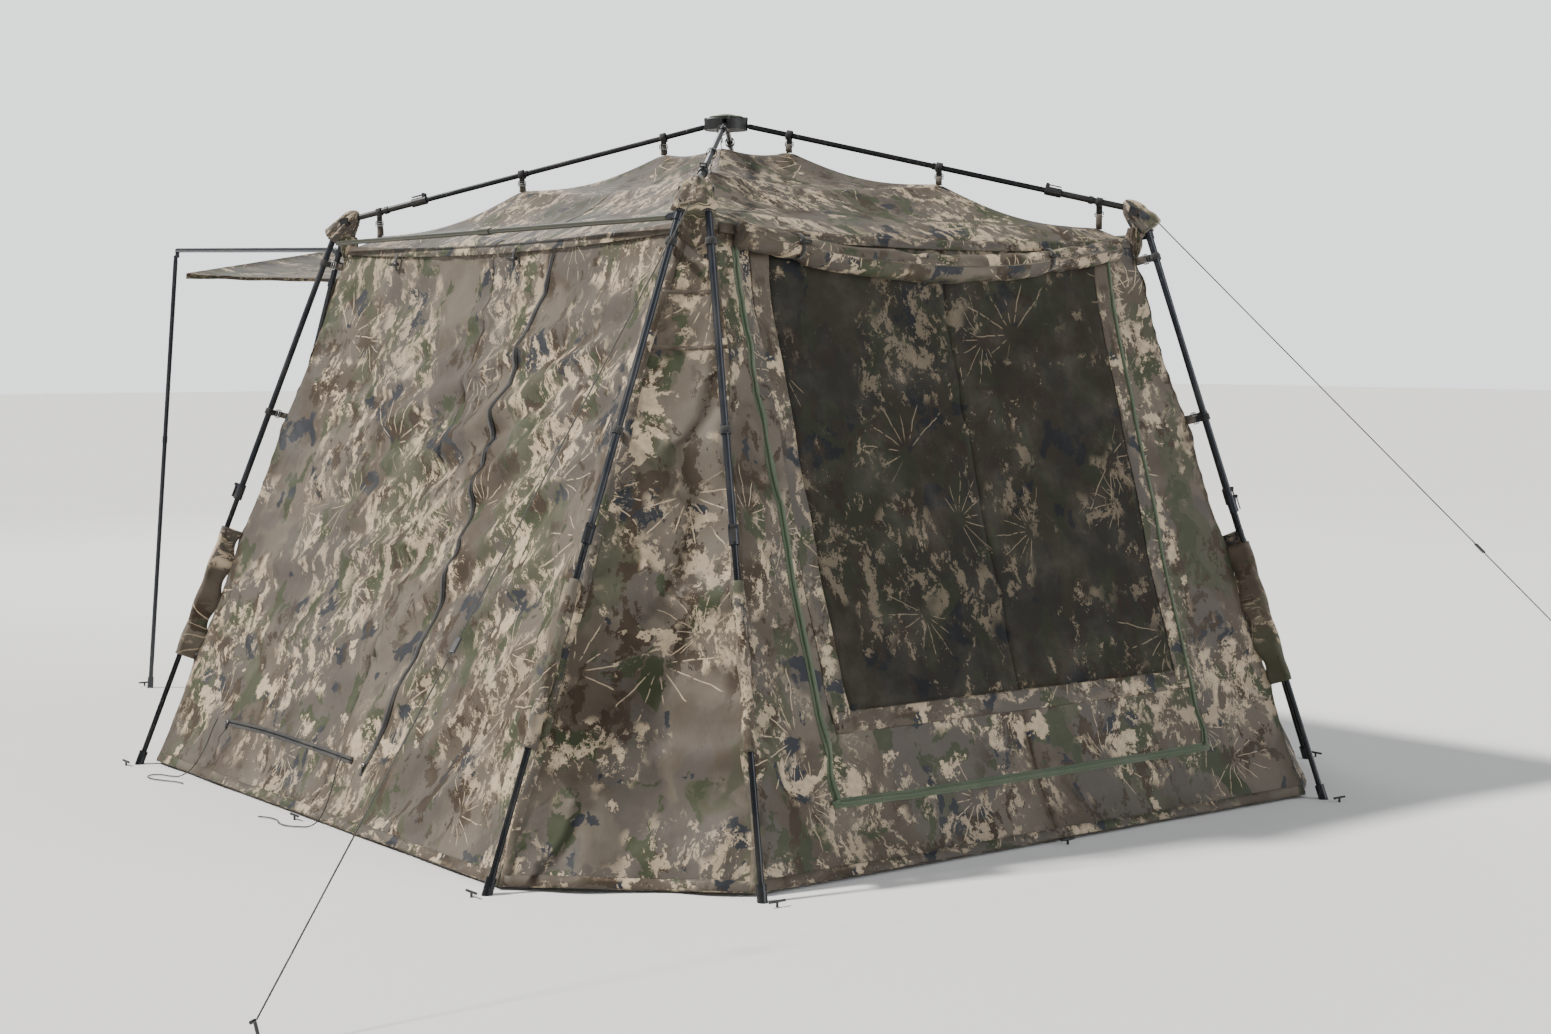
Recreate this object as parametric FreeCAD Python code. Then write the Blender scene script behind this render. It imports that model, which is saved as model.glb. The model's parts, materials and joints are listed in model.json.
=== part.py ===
"""Pop up ground blind: a hub and arm frame on eight telescopic legs, with a camouflage skin.

Millimetres, +Z up. The frame is laid out around the hub, and the last step moves everything so that
the origin is the centre of the footprint on the ground. The front (-Y) has the mesh window, the left
side (-X) has the zipped door, and the awning stands out over the doorway at the rear (+Y).
"""
import FreeCAD
import Part
import math
import os

Vector = FreeCAD.Vector

# Roof frame
HUB_HEIGHT = 2145.0
HUB_RADIUS = 72.5
HUB_THICKNESS = 32.0
HUB_PIVOT_RADIUS = 58.0
HUB_SLOT_INNER_RADIUS = 40.0
HUB_SLOT_OVERRUN = 15.0
HUB_PIN_SEAT = 4.0
CAP_RISE = 22.0
CAP_LOBE_RADIUS = 23.0
CAP_LOBE_HEIGHT = 9.0
CAP_LOBE_CENTRE = 52.0
CAP_INSET = 4.0
KNUCKLE_X = 860.0
KNUCKLE_Y = 1041.0
KNUCKLE_HEIGHT = 1850.0
ARM_FOLD_ANGLE = 74.0
ARM_SLEEVE_LENGTH = 291.0
ARM_OVERLAP = 45.0
ARM_COLLAR_SHARES = (0.12, 0.50)
ARM_COLLAR_RADIUS = 11.0
SLEEVE_COLLAR_SHARE = 0.895

# Tubes: the inner one slides in the outer one
OUTER_TUBE_RADIUS = 10.25
INNER_TUBE_RADIUS = 8.75
TUBE_WALL = 1.2
SLIDE_GAP = 0.3

# Pivots
EYE_WIDTH = 14.0
EYE_RADIUS = 10.5
PIN_RADIUS = 3.5
PIN_GAP = 0.08
SIDE_GAP = 0.4
NECK_LENGTH = 22.0
NECK_THICKNESS = 13.0
NECK_OVERLAP = 6.0
THROUGH = 3.0

# Corner fittings
HEAD_BACK = 10.0
HEAD_FRONT = 19.0
HEAD_WIDTH = 98.0
HEAD_HEIGHT = 26.0
HEAD_DROP = 10.0
CHEEK_THICKNESS = 4.0
CHEEK_RADIUS = 12.5
CHEEK_ROOT = 8.0
CHEEK_WEB_WIDTH = 21.0
LEG_PIVOT_FORWARD = 34.0
LEG_PIVOT_SPREAD = 32.0
LEG_PIVOT_DROP = 18.0
GUY_LUG_RADIUS = 4.0
GUY_LUG_LENGTH = 62.0
GUY_LUG_ROOT = 4.0

# Legs
SIDE_FOOT_X = 1614.0
SIDE_FOOT_Y = 1163.0
END_FOOT_X = 1097.0
END_FOOT_Y = 1657.0
LEG_LOCK_SHARE = 0.5
LEG_OVERLAP = 60.0
LEG_SLIDE_SPARE = 60.0
ARM_SLIDE_SPARE = 15.0
FOOT_RADIUS = 14.0
FOOT_CAP_LENGTH = 46.0
FOOT_SOLE = 8.0
RING_RADIUS = 13.0
RING_LENGTH = 14.0
RING_SHARES = (0.07, 0.35)

# Lever locks
LOCK_RADIUS = 14.5
LOCK_LENGTH = 54.0
LEVER_LENGTH = 44.0
LEVER_WIDTH = 14.0
LEVER_THICKNESS = 3.5
LEVER_LIFT = 5.5
LEVER_OFFSET = LOCK_RADIUS + LEVER_LIFT
LEVER_BARREL_RADIUS = 4.0
LEVER_PIN_RADIUS = 2.0
LEVER_OPEN_ANGLE = 100.0
EAR_THICKNESS = 3.0
EAR_RADIUS = 5.5

# Cross bars between neighbouring corners
BAR_RADIUS = 8.0
BAR_DROP = 62.0
REAR_BAR_DROP = 205.0
BAR_OFFSET = 34.0
BAR_FREE_GAP = 12.0
BAR_EYE_RADIUS = 8.5
BAR_EYE_WIDTH = 10.0
BAR_NECK = 16.0
BAR_NECK_OVERLAP = 4.0
BAR_NECK_THICKNESS = 14.0
BAR_CONNECTOR_RADIUS = 11.0
BAR_CONNECTOR_LENGTH = 62.0
BRACKET_THICKNESS = 5.0
COLLAR_RADIUS = 13.5
COLLAR_LENGTH = 24.0

# Awning
AWNING_TIP_X = 800.0
AWNING_TIP_Y = 2700.0
AWNING_TIP_HEIGHT = 1800.0
AWNING_ARM_RADIUS = 9.0
AWNING_DROP = 92.0
AWNING_OFFSET = 40.0
AWNING_STAGGER = 24.0
AWNING_FOLD_ANGLE = 68.0
POLE_RADIUS = 9.0
POLE_LEAN_X = 110.0
POLE_LEAN_Y = 90.0
POLE_FOLD_ANGLE = 90.0
POLE_PLANE_OFFSET = 16.0
POLE_HEAD_RADIUS = 8.0
POLE_HEAD_DROP = 26.0
POLE_HEAD_STAGGER = 24.0
POLE_NECK_THICKNESS = 13.0
POLE_PLATE_WIDTH = 16.0
POLE_PLATE_THICKNESS = 5.0
POLE_FERRULE_SHARE = 0.42
POLE_FERRULE_RADIUS = 10.5
POLE_FOOT_RADIUS = 12.0
AWNING_SHEET_DROP = 44.0
AWNING_SHEET_MARGIN = 26.0
AWNING_SHEET_START = 60.0

# Skin
SKIN_THICKNESS = 2.0
SKIN_SEAM_GAP = 4.0
ROOF_DROP_AT_HUB = 62.0
ROOF_DROP_AT_CORNER = 110.0
SKIN_TOP_MARGIN = 10.0
HEM_HEIGHT = 5.0
SIDE_HEM_INSET = 50.0
END_HEM_INSET = 50.0
WINDOW_HALF_WIDTH = 650.0
WINDOW_BOTTOM = 430.0
WINDOW_TOP = 1640.0
DOORWAY_HALF_WIDTH = 550.0
DOORWAY_TOP = 1560.0
FLAP_ROLL_RADIUS = 34.0
FLAP_ROLL_HALF_LENGTH = 760.0
FLAP_ROLL_HEIGHT = 1728.0
FLAP_ROLL_SAG = 52.0
FLAP_ROLL_STANDOFF = 42.0

# Pegs and cords
PEG_RADIUS = 3.5
PEG_HEAD_LENGTH = 50.0
PEG_HEAD_HEIGHT = 15.0
PEG_CLEARANCE = 0.5
SIDE_PEG_OFFSET = 46.0
END_PEG_OFFSET = 62.0
MIDDLE_PEG_OFFSET = 34.0
POLE_PEG_OFFSET = 60.0
GUY_RADIUS = 2.0
GUY_PEG_RADIUS = 4.0
GUY_PEG_LENGTH = 62.0
GUY_PEG_LEAN = 0.4
GUY_HOOK_LENGTH = 16.0
GUY_LOOP_DROP = 6.0
GUY_LUG_GAP = 0.8
GUY_PEG_GAP = 2.0
GROUND_BLOCK = 80.0
LEFT_GUY_PEG = Vector(-2620.0, -1990.0, 0.0)
RIGHT_GUY_PEG = Vector(2700.0, -1820.0, 0.0)
TENSIONER_LENGTH = 46.0
TENSIONER_WIDTH = 16.0
TENSIONER_THICKNESS = 7.0
TENSIONER_SHARE = 0.62
TENSIONER_FILLET = 2.0
TIE_RADIUS = 2.0
RUN_SHARE = 0.45

# The ties of the side door: they hang from the ends of its low zip and lie on the ground
DOOR_TIE_REAR = [
    Vector(-1496, 780, 196), Vector(-1517, 777, 160), Vector(-1535, 781, 116), Vector(-1556, 793, 70),
    Vector(-1579, 812, 30), Vector(-1604, 840, 7), Vector(-1624, 876, 4), Vector(-1638, 915, 4),
    Vector(-1668, 930, 4), Vector(-1690, 902, 4), Vector(-1688, 860, 4), Vector(-1672, 815, 4),
    Vector(-1650, 772, 4), Vector(-1640, 730, 4)]
DOOR_TIE_FRONT = [
    Vector(-1496, -110, 196), Vector(-1516, -116, 158), Vector(-1537, -128, 112), Vector(-1560, -138, 66),
    Vector(-1585, -142, 26), Vector(-1612, -134, 6), Vector(-1640, -110, 4), Vector(-1660, -74, 4),
    Vector(-1662, -30, 4), Vector(-1648, 14, 4), Vector(-1650, 58, 4), Vector(-1670, 98, 4)]

UP = Vector(0, 0, 1)
CORNERS = (("front_left", -1, -1), ("rear_left", -1, 1), ("front_right", 1, -1), ("rear_right", 1, 1))
SOLIDS = {}


def unit(vector):
    """Return the vector at length one."""
    return vector / vector.Length


def across(vector, direction):
    """Return the unit of what is left of a vector without its share along a unit direction."""
    return unit(vector - direction * vector.dot(direction))


def rod(start, end, radius):
    """Make a solid cylinder between two points."""
    return Part.makeCylinder(radius, (end - start).Length, start, end - start)


def tube(start, end, outer, inner):
    """Make a tube between two points."""
    return rod(start, end, outer).cut(rod(start, end, inner))


def barrel(centre, axis, radius, width):
    """Make a cylinder centred on a point, with its axis along a unit direction."""
    return rod(centre - axis * (width / 2), centre + axis * (width / 2), radius)


def block(centre, length_way, width_way, size):
    """Make a box around a point: its length, width and height follow two unit directions."""
    width_way = across(width_way, length_way)
    height_way = length_way.cross(width_way)
    half = [extent / 2 for extent in size]
    corner = centre - length_way * half[0] - width_way * half[1] - height_way * half[2]
    box = Part.makeBox(size[0], size[1], size[2])
    turn = FreeCAD.Rotation(length_way, width_way, height_way, "ZXY")
    box.Placement = FreeCAD.Placement(corner, turn)
    return box


def join(shapes):
    """Fuse shapes that touch into one solid."""
    fused = shapes[0].multiFuse(shapes[1:])
    return fused.removeSplitter()


def angle_between(first, second):
    """Return the angle between two unit directions, in degrees."""
    return math.degrees(math.acos(max(-1.0, min(1.0, first.dot(second)))))


def add(name, *shapes):
    """Keep the solids of one node."""
    SOLIDS[name] = list(shapes)


class Leg:
    """The line, hinge and folded direction of one leg."""

    def __init__(self, corner, kind):
        self.corner = corner
        sideways = corner.sideways if kind == "side" else corner.sideways * -1
        foot_x, foot_y = (SIDE_FOOT_X, SIDE_FOOT_Y) if kind == "side" else (END_FOOT_X, END_FOOT_Y)
        self.pivot = (corner.knuckle + corner.along * LEG_PIVOT_FORWARD
                      + sideways * LEG_PIVOT_SPREAD - UP * LEG_PIVOT_DROP)
        self.foot = Vector(corner.sign_x * foot_x, corner.sign_y * foot_y, 0)
        self.length = (self.foot - self.pivot).Length
        self.down = unit(self.foot - self.pivot)
        fold = math.radians(ARM_FOLD_ANGLE)
        folded = corner.out * math.sin(fold) - UP * math.cos(fold)
        self.hinge = unit(self.down.cross(folded))
        self.fold_angle = angle_between(self.down, folded)
        self.lock = self.length * LEG_LOCK_SHARE
        self.inner_top = self.lock - LEG_OVERLAP
        self.slide = self.inner_top - NECK_LENGTH - LEG_SLIDE_SPARE
        self.outward = across(corner.out, self.down)
        self.lever_axis = self.down.cross(self.outward)
        self.lever_pivot = self.at(self.lock - LOCK_LENGTH / 2 + EAR_RADIUS) + self.outward * LEVER_OFFSET

    def at(self, distance):
        """Return the point of the leg's axis at a distance below its pivot."""
        return self.pivot + self.down * distance


class Corner:
    """The place of one corner of the roof and the directions of its arm."""

    def __init__(self, name, sign_x, sign_y):
        self.name = name
        self.sign_x = sign_x
        self.sign_y = sign_y
        self.knuckle = Vector(sign_x * KNUCKLE_X, sign_y * KNUCKLE_Y, KNUCKLE_HEIGHT)
        self.out = unit(Vector(self.knuckle.x, self.knuckle.y, 0))
        self.hinge = UP.cross(self.out)
        self.pivot = self.out * HUB_PIVOT_RADIUS + UP * HUB_HEIGHT
        self.along = unit(self.knuckle - self.pivot)
        self.above = self.along.cross(self.hinge)
        self.arm_length = (self.knuckle - self.pivot).Length
        self.sideways = Vector(sign_x * abs(self.out.y), -sign_y * abs(self.out.x), 0)
        self.sleeve_start = self.arm_length - ARM_SLEEVE_LENGTH
        self.slide = ARM_SLEEVE_LENGTH - ARM_OVERLAP - HEAD_BACK - ARM_SLIDE_SPARE
        self.lever_axis = self.along.cross(self.above)
        self.lever_pivot = self.at(self.sleeve_start + EAR_RADIUS) + self.above * LEVER_OFFSET
        self.legs = {kind: Leg(self, kind) for kind in ("side", "end")}

    def at(self, distance):
        """Return the point of the arm's axis at a distance from the hub pivot."""
        return self.pivot + self.along * distance


class Bar:
    """A cross bar: it turns on one leg, and its other end is free beside the next corner's leg."""

    def __init__(self, name, leg, far_leg, drop):
        self.name = name
        self.leg = leg
        way = far_leg.foot - leg.foot
        self.way = unit(Vector(way.x, way.y, 0))
        self.seat = leg.at(drop)
        self.offset_way = across(self.way, leg.down)
        self.pivot = self.seat + self.offset_way * BAR_OFFSET
        far_pivot = far_leg.at(drop) + across(self.way * -1, far_leg.down) * BAR_OFFSET
        self.end = far_pivot - self.way * BAR_FREE_GAP
        self.hinge = unit(self.way.cross(leg.down))
        self.fold_angle = angle_between(self.way, leg.down)


class AwningSide:
    """One side of the awning: its arm, and the pole that stands under its tip."""

    def __init__(self, name, leg):
        self.name = name
        self.leg = leg
        self.sign = leg.corner.sign_x
        self.seat = leg.at(AWNING_DROP)
        self.offset_way = across(Vector(0, 1, 0), leg.down)
        stagger = 0 if name == "left" else AWNING_STAGGER
        self.pivot = self.seat + self.offset_way * (AWNING_OFFSET + stagger)
        self.tip = Vector(self.sign * AWNING_TIP_X, AWNING_TIP_Y, AWNING_TIP_HEIGHT)
        self.along = unit(self.tip - self.pivot)
        self.hinge = Vector(-1, 0, 0)
        plane = POLE_PLANE_OFFSET * self.sign
        self.head_drop = POLE_HEAD_DROP if name == "left" else POLE_HEAD_DROP + POLE_HEAD_STAGGER
        self.pole_pivot = self.tip - UP * self.head_drop - Vector(0, plane, 0)
        self.pole_foot = Vector(self.sign * (AWNING_TIP_X + POLE_LEAN_X),
                                AWNING_TIP_Y + POLE_LEAN_Y - plane, 0)
        self.pole_down = unit(self.pole_foot - self.pole_pivot)
        self.pole_hinge = Vector(0, self.sign, 0)


CORNER = {name: Corner(name, sign_x, sign_y) for name, sign_x, sign_y in CORNERS}
BARS = [
    Bar("cross_bar_left", CORNER["front_left"].legs["side"], CORNER["rear_left"].legs["side"], BAR_DROP),
    Bar("cross_bar_right", CORNER["front_right"].legs["side"], CORNER["rear_right"].legs["side"], BAR_DROP),
    Bar("cross_bar_rear", CORNER["rear_left"].legs["end"], CORNER["rear_right"].legs["end"], REAR_BAR_DROP)]
AWNING = [
    AwningSide("left", CORNER["rear_left"].legs["end"]),
    AwningSide("right", CORNER["rear_right"].legs["end"])]


def eye(centre, hinge, along, radius, width, neck, thickness):
    """Make a bored eye with a flat neck that runs from it along a direction."""
    head = barrel(centre, hinge, radius, width)
    stem = block(centre + along * (neck / 2), along, hinge, (neck, width, thickness))
    hole = barrel(centre, hinge, PIN_RADIUS + PIN_GAP, width * THROUGH)
    return join([head, stem]).cut(hole)


def hub_body():
    """Make the hub: a disc with a slot and a pin for each arm."""
    bottom = Vector(0, 0, HUB_HEIGHT - HUB_THICKNESS / 2)
    disc = Part.makeCylinder(HUB_RADIUS, HUB_THICKNESS, bottom)
    slot_width = EYE_WIDTH + 2 * SIDE_GAP
    pins = []
    for corner in CORNER.values():
        length = HUB_RADIUS + HUB_SLOT_OVERRUN - HUB_SLOT_INNER_RADIUS
        centre = corner.out * (HUB_SLOT_INNER_RADIUS + length / 2) + UP * HUB_HEIGHT
        slot_size = (length, slot_width, HUB_THICKNESS * THROUGH)
        disc = disc.cut(block(centre, corner.out, corner.hinge, slot_size))
        pins.append(barrel(corner.pivot, corner.hinge, PIN_RADIUS, slot_width + 2 * HUB_PIN_SEAT))
    return join([disc] + pins)


def hub_cap():
    """Make the domed cap with four lobes over the arm pivots."""
    base = HUB_HEIGHT + HUB_THICKNESS / 2
    sphere_radius = (HUB_RADIUS ** 2 + CAP_RISE ** 2) / (2 * CAP_RISE)
    sphere = Part.makeSphere(sphere_radius, Vector(0, 0, base + CAP_RISE - sphere_radius))
    dome = sphere.common(Part.makeCylinder(HUB_RADIUS - CAP_INSET, CAP_RISE * 2, Vector(0, 0, base)))
    lobes = []
    for corner in CORNER.values():
        centre = corner.out * CAP_LOBE_CENTRE + UP * base
        lobes.append(Part.makeCylinder(CAP_LOBE_RADIUS, CAP_LOBE_HEIGHT, centre))
    return join([dome] + lobes)


def lock_housing(centre, along, outward):
    """Make the collar of a lever lock with the two ears that hold its lever."""
    hinge = along.cross(outward)
    collar = barrel(centre, along, LOCK_RADIUS, LOCK_LENGTH)
    ear_centre = centre - along * (LOCK_LENGTH / 2 - EAR_RADIUS)
    shapes = [collar]
    for side in (-1, 1):
        shift = hinge * side * (LEVER_WIDTH / 2 + SIDE_GAP + EAR_THICKNESS / 2)
        ear = barrel(ear_centre + outward * LEVER_OFFSET + shift, hinge, EAR_RADIUS, EAR_THICKNESS)
        foot = block(ear_centre + outward * (LEVER_OFFSET / 2 + LOCK_RADIUS / 4) + shift, along, hinge,
                     (EAR_RADIUS * 2, EAR_THICKNESS, LEVER_OFFSET - LOCK_RADIUS / 2))
        shapes += [ear, foot]
    hole_centre = ear_centre + outward * LEVER_OFFSET
    hole = barrel(hole_centre, hinge, LEVER_PIN_RADIUS + PIN_GAP, LEVER_WIDTH * THROUGH)
    return join(shapes).cut(hole)


def lever(pivot, along, outward):
    """Make a lever with its pin: it lies along the tube and opens away from it."""
    hinge = along.cross(outward)
    head = barrel(pivot, hinge, LEVER_BARREL_RADIUS, LEVER_WIDTH)
    pin = barrel(pivot, hinge, LEVER_PIN_RADIUS, LEVER_WIDTH + 2 * SIDE_GAP + 2 * EAR_THICKNESS)
    plate = block(pivot + along * (LEVER_LENGTH / 2), along, hinge,
                  (LEVER_LENGTH, LEVER_WIDTH, LEVER_THICKNESS))
    return join([head, pin, plate])


def roof_arm(corner):
    """Make the thin tube of an arm with the eye that turns on its hub pin."""
    eye_end = eye(corner.pivot, corner.hinge, corner.along, EYE_RADIUS, EYE_WIDTH,
                  NECK_LENGTH + NECK_OVERLAP, NECK_THICKNESS)
    start = corner.at(NECK_LENGTH)
    end = corner.at(corner.sleeve_start + ARM_OVERLAP)
    plug = rod(start, corner.at(NECK_LENGTH * 2), INNER_TUBE_RADIUS - TUBE_WALL)
    collars = [barrel(corner.at(corner.arm_length * share), corner.along, ARM_COLLAR_RADIUS, RING_LENGTH)
               for share in ARM_COLLAR_SHARES]
    outer = join([rod(start, end, INNER_TUBE_RADIUS)] + collars)
    shell = outer.cut(rod(start, end, INNER_TUBE_RADIUS - TUBE_WALL))
    return join([eye_end, shell, plug])


def cheek(leg, side):
    """Make one of the two plates that hold a leg's pin."""
    shift = leg.hinge * side * (EYE_WIDTH / 2 + SIDE_GAP + CHEEK_THICKNESS / 2)
    back = across(leg.corner.along * -1, leg.hinge)
    disc = barrel(leg.pivot + shift, leg.hinge, CHEEK_RADIUS, CHEEK_THICKNESS)
    reach = LEG_PIVOT_FORWARD - HEAD_FRONT + CHEEK_ROOT
    web = block(leg.pivot + shift + back * (reach / 2), back, leg.hinge,
                (reach, CHEEK_THICKNESS, CHEEK_WEB_WIDTH))
    return join([disc, web])


def lug_end(corner):
    """Return the middle of the front of the lug that a guy line hangs from."""
    return corner.knuckle + corner.along * GUY_LUG_LENGTH - UP * HEAD_DROP


def corner_joint(corner):
    """Make the sliding sleeve of an arm with the crosshead that carries two legs."""
    centre = corner.knuckle + corner.along * ((HEAD_FRONT - HEAD_BACK) / 2) - UP * HEAD_DROP
    head = block(centre, corner.along, corner.hinge, (HEAD_FRONT + HEAD_BACK, HEAD_WIDTH, HEAD_HEIGHT))
    start = corner.at(corner.sleeve_start)
    housing = lock_housing(corner.at(corner.sleeve_start + LOCK_LENGTH / 2), corner.along, corner.above)
    sleeve = rod(start, corner.at(corner.arm_length + HEAD_FRONT), OUTER_TUBE_RADIUS)
    lug_start = corner.knuckle + corner.along * (HEAD_FRONT - GUY_LUG_ROOT) - UP * HEAD_DROP
    lug = rod(lug_start, lug_end(corner), GUY_LUG_RADIUS)
    collar_place = corner.at(corner.arm_length * SLEEVE_COLLAR_SHARE)
    collar = barrel(collar_place, corner.along, RING_RADIUS, RING_LENGTH)
    shapes = [head, housing, sleeve, lug, collar]
    for leg in corner.legs.values():
        shapes += [cheek(leg, -1), cheek(leg, 1)]
        shapes.append(barrel(leg.pivot, leg.hinge, PIN_RADIUS, EYE_WIDTH + 2 * SIDE_GAP + CHEEK_THICKNESS))
    bore = rod(start - corner.along, corner.at(corner.arm_length - HEAD_BACK), INNER_TUBE_RADIUS + SLIDE_GAP)
    return join(shapes).cut(bore)


def bracket(leg, seat, pivot, hinge, offset_way, eye_width):
    """Make the collar, tab and pin on a leg that carry the end of a bar."""
    collar = barrel(seat, leg.down, COLLAR_RADIUS, COLLAR_LENGTH)
    shift = hinge * (eye_width / 2 + SIDE_GAP + BRACKET_THICKNESS / 2)
    reach = (pivot - seat).Length
    tab_centre = seat + offset_way * (reach / 2) + shift
    tab = block(tab_centre, offset_way, hinge, (reach, BRACKET_THICKNESS, BAR_EYE_RADIUS * 2))
    boss = barrel(pivot + shift, hinge, BAR_EYE_RADIUS, BRACKET_THICKNESS)
    pin = rod(pivot + shift, pivot - hinge * (eye_width / 2), PIN_RADIUS)
    return [collar, tab, boss, pin]


def leg_upper(leg):
    """Make the outer tube of a leg with its eye, rings, lock housing and any bar brackets."""
    eye_end = eye(leg.pivot, leg.hinge, leg.down, EYE_RADIUS, EYE_WIDTH,
                  NECK_LENGTH + NECK_OVERLAP, NECK_THICKNESS)
    start = leg.at(NECK_LENGTH)
    end = leg.at(leg.lock)
    shapes = [eye_end, rod(start, end, OUTER_TUBE_RADIUS)]
    for share in RING_SHARES:
        shapes.append(barrel(leg.at(leg.length * share), leg.down, RING_RADIUS, RING_LENGTH))
    for bar in BARS:
        if bar.leg is leg:
            shapes += bracket(leg, bar.seat, bar.pivot, bar.hinge, bar.offset_way, BAR_EYE_WIDTH)
    for side in AWNING:
        if side.leg is leg:
            outer = side.hinge if side.sign < 0 else side.hinge * -1
            shapes += bracket(leg, side.seat, side.pivot, outer, side.offset_way, BAR_EYE_WIDTH)
    shapes.append(lock_housing(leg.at(leg.lock), leg.down, leg.outward))
    bore = rod(leg.at(NECK_LENGTH * 2), leg.at(leg.lock + LOCK_LENGTH), INNER_TUBE_RADIUS + SLIDE_GAP)
    return join(shapes).cut(bore)


def leg_lower(leg):
    """Make the inner tube of a leg and its rubber foot, which is cut flat on the ground."""
    end = leg.at(leg.length - FOOT_SOLE)
    inner = tube(leg.at(leg.inner_top), end, INNER_TUBE_RADIUS, INNER_TUBE_RADIUS - TUBE_WALL)
    foot = rod(leg.at(leg.length - FOOT_CAP_LENGTH), leg.at(leg.length + FOOT_RADIUS), FOOT_RADIUS)
    foot = foot.cut(rod(leg.at(leg.length - FOOT_CAP_LENGTH), end, INNER_TUBE_RADIUS))
    corner = leg.foot - Vector(FOOT_CAP_LENGTH, FOOT_CAP_LENGTH, FOOT_CAP_LENGTH)
    below = Part.makeBox(FOOT_CAP_LENGTH * 2, FOOT_CAP_LENGTH * 2, FOOT_CAP_LENGTH, corner)
    return inner, foot.cut(below)


def cross_bar(bar):
    """Make a cross bar with its eye, its middle connector and its rounded free end."""
    eye_end = eye(bar.pivot, bar.hinge, bar.way, BAR_EYE_RADIUS, BAR_EYE_WIDTH, BAR_NECK + BAR_NECK_OVERLAP,
                  BAR_NECK_THICKNESS)
    shaft = rod(bar.pivot + bar.way * BAR_NECK, bar.end, BAR_RADIUS)
    middle = (bar.pivot + bar.end) * 0.5
    connector = barrel(middle, bar.way, BAR_CONNECTOR_RADIUS, BAR_CONNECTOR_LENGTH)
    return join([eye_end, shaft, connector, Part.makeSphere(BAR_RADIUS, bar.end)])


def awning_arm(side):
    """Make an awning arm with its eye at the leg and a pole pin at its tip."""
    eye_end = eye(side.pivot, side.hinge, side.along, BAR_EYE_RADIUS, BAR_EYE_WIDTH,
                  BAR_NECK + BAR_NECK_OVERLAP, BAR_NECK_THICKNESS)
    shaft = rod(side.pivot + side.along * BAR_NECK, side.tip, AWNING_ARM_RADIUS)
    knob = Part.makeSphere(AWNING_ARM_RADIUS, side.tip)
    pole_way = Vector(0, side.sign, 0)
    plate_centre = side.tip - UP * (side.head_drop / 2)
    plate = block(plate_centre, UP, Vector(1, 0, 0),
                  (side.head_drop + POLE_HEAD_RADIUS, POLE_PLATE_WIDTH, POLE_PLATE_THICKNESS))
    pin_end = side.pole_pivot - pole_way * (BAR_EYE_WIDTH / 2)
    pin = rod(side.tip - UP * side.head_drop, pin_end, PIN_RADIUS)
    return join([eye_end, shaft, knob, plate, pin])


def storm_pole(side):
    """Make the pole that stands under an awning tip, with its rubber foot."""
    way = side.pole_down
    head = eye(side.pole_pivot, side.pole_hinge, way, POLE_HEAD_RADIUS, BAR_EYE_WIDTH,
               BAR_NECK + BAR_NECK_OVERLAP, POLE_NECK_THICKNESS)
    shaft = rod(side.pole_pivot + way * BAR_NECK, side.pole_foot - way * FOOT_SOLE, POLE_RADIUS)
    length = (side.pole_pivot - side.pole_foot).Length
    ferrule = barrel(side.pole_pivot + way * (length * POLE_FERRULE_SHARE), way,
                     POLE_FERRULE_RADIUS, RING_LENGTH * 2)
    foot = rod(side.pole_foot - way * FOOT_CAP_LENGTH, side.pole_foot + way * FOOT_RADIUS,
               POLE_FOOT_RADIUS)
    corner = side.pole_foot - Vector(FOOT_CAP_LENGTH, FOOT_CAP_LENGTH, FOOT_CAP_LENGTH)
    below = Part.makeBox(FOOT_CAP_LENGTH * 2, FOOT_CAP_LENGTH * 2, FOOT_CAP_LENGTH, corner)
    return join([head, shaft, ferrule, foot]).cut(below)


def inset(points, distance):
    """Move each side of a convex outline inwards by a distance, in its own plane."""
    normal = unit((points[1] - points[0]).cross(points[2] - points[1]))
    count = len(points)
    ways = [unit(points[(index + 1) % count] - points[index]) for index in range(count)]
    moved = []
    for index, point in enumerate(points):
        before = normal.cross(ways[index - 1])
        after = normal.cross(ways[index])
        moved.append(point + (before + after) * (distance / (1 + before.dot(after))))
    return moved


def sheet(points, gap=SKIN_SEAM_GAP):
    """Make a flat panel of skin, with its thickness on the inner side of its outline."""
    outline = inset(points, gap)
    normal = unit((outline[1] - outline[0]).cross(outline[2] - outline[1]))
    middle = Vector(0, 0, HUB_HEIGHT / 4)
    if normal.dot(middle - outline[0]) < 0:
        normal = normal * -1
    face = Part.Face(Part.makePolygon(outline + [outline[0]]))
    return face.extrude(normal * SKIN_THICKNESS)


def skin_top(sign_x, sign_y):
    """Return the place of a top corner of the skin, under the corner fitting."""
    return Vector(sign_x * (KNUCKLE_X + SKIN_TOP_MARGIN), sign_y * (KNUCKLE_Y + SKIN_TOP_MARGIN),
                  KNUCKLE_HEIGHT - ROOF_DROP_AT_CORNER)


def hem(sign_x, sign_y, kind):
    """Return the place of a hem corner, a little inside a leg's foot."""
    if kind == "side":
        return Vector(sign_x * (SIDE_FOOT_X - SIDE_HEM_INSET),
                      sign_y * (SIDE_FOOT_Y - SIDE_HEM_INSET / 2), HEM_HEIGHT)
    return Vector(sign_x * (END_FOOT_X - END_HEM_INSET / 2),
                  sign_y * (END_FOOT_Y - END_HEM_INSET), HEM_HEIGHT)


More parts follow.
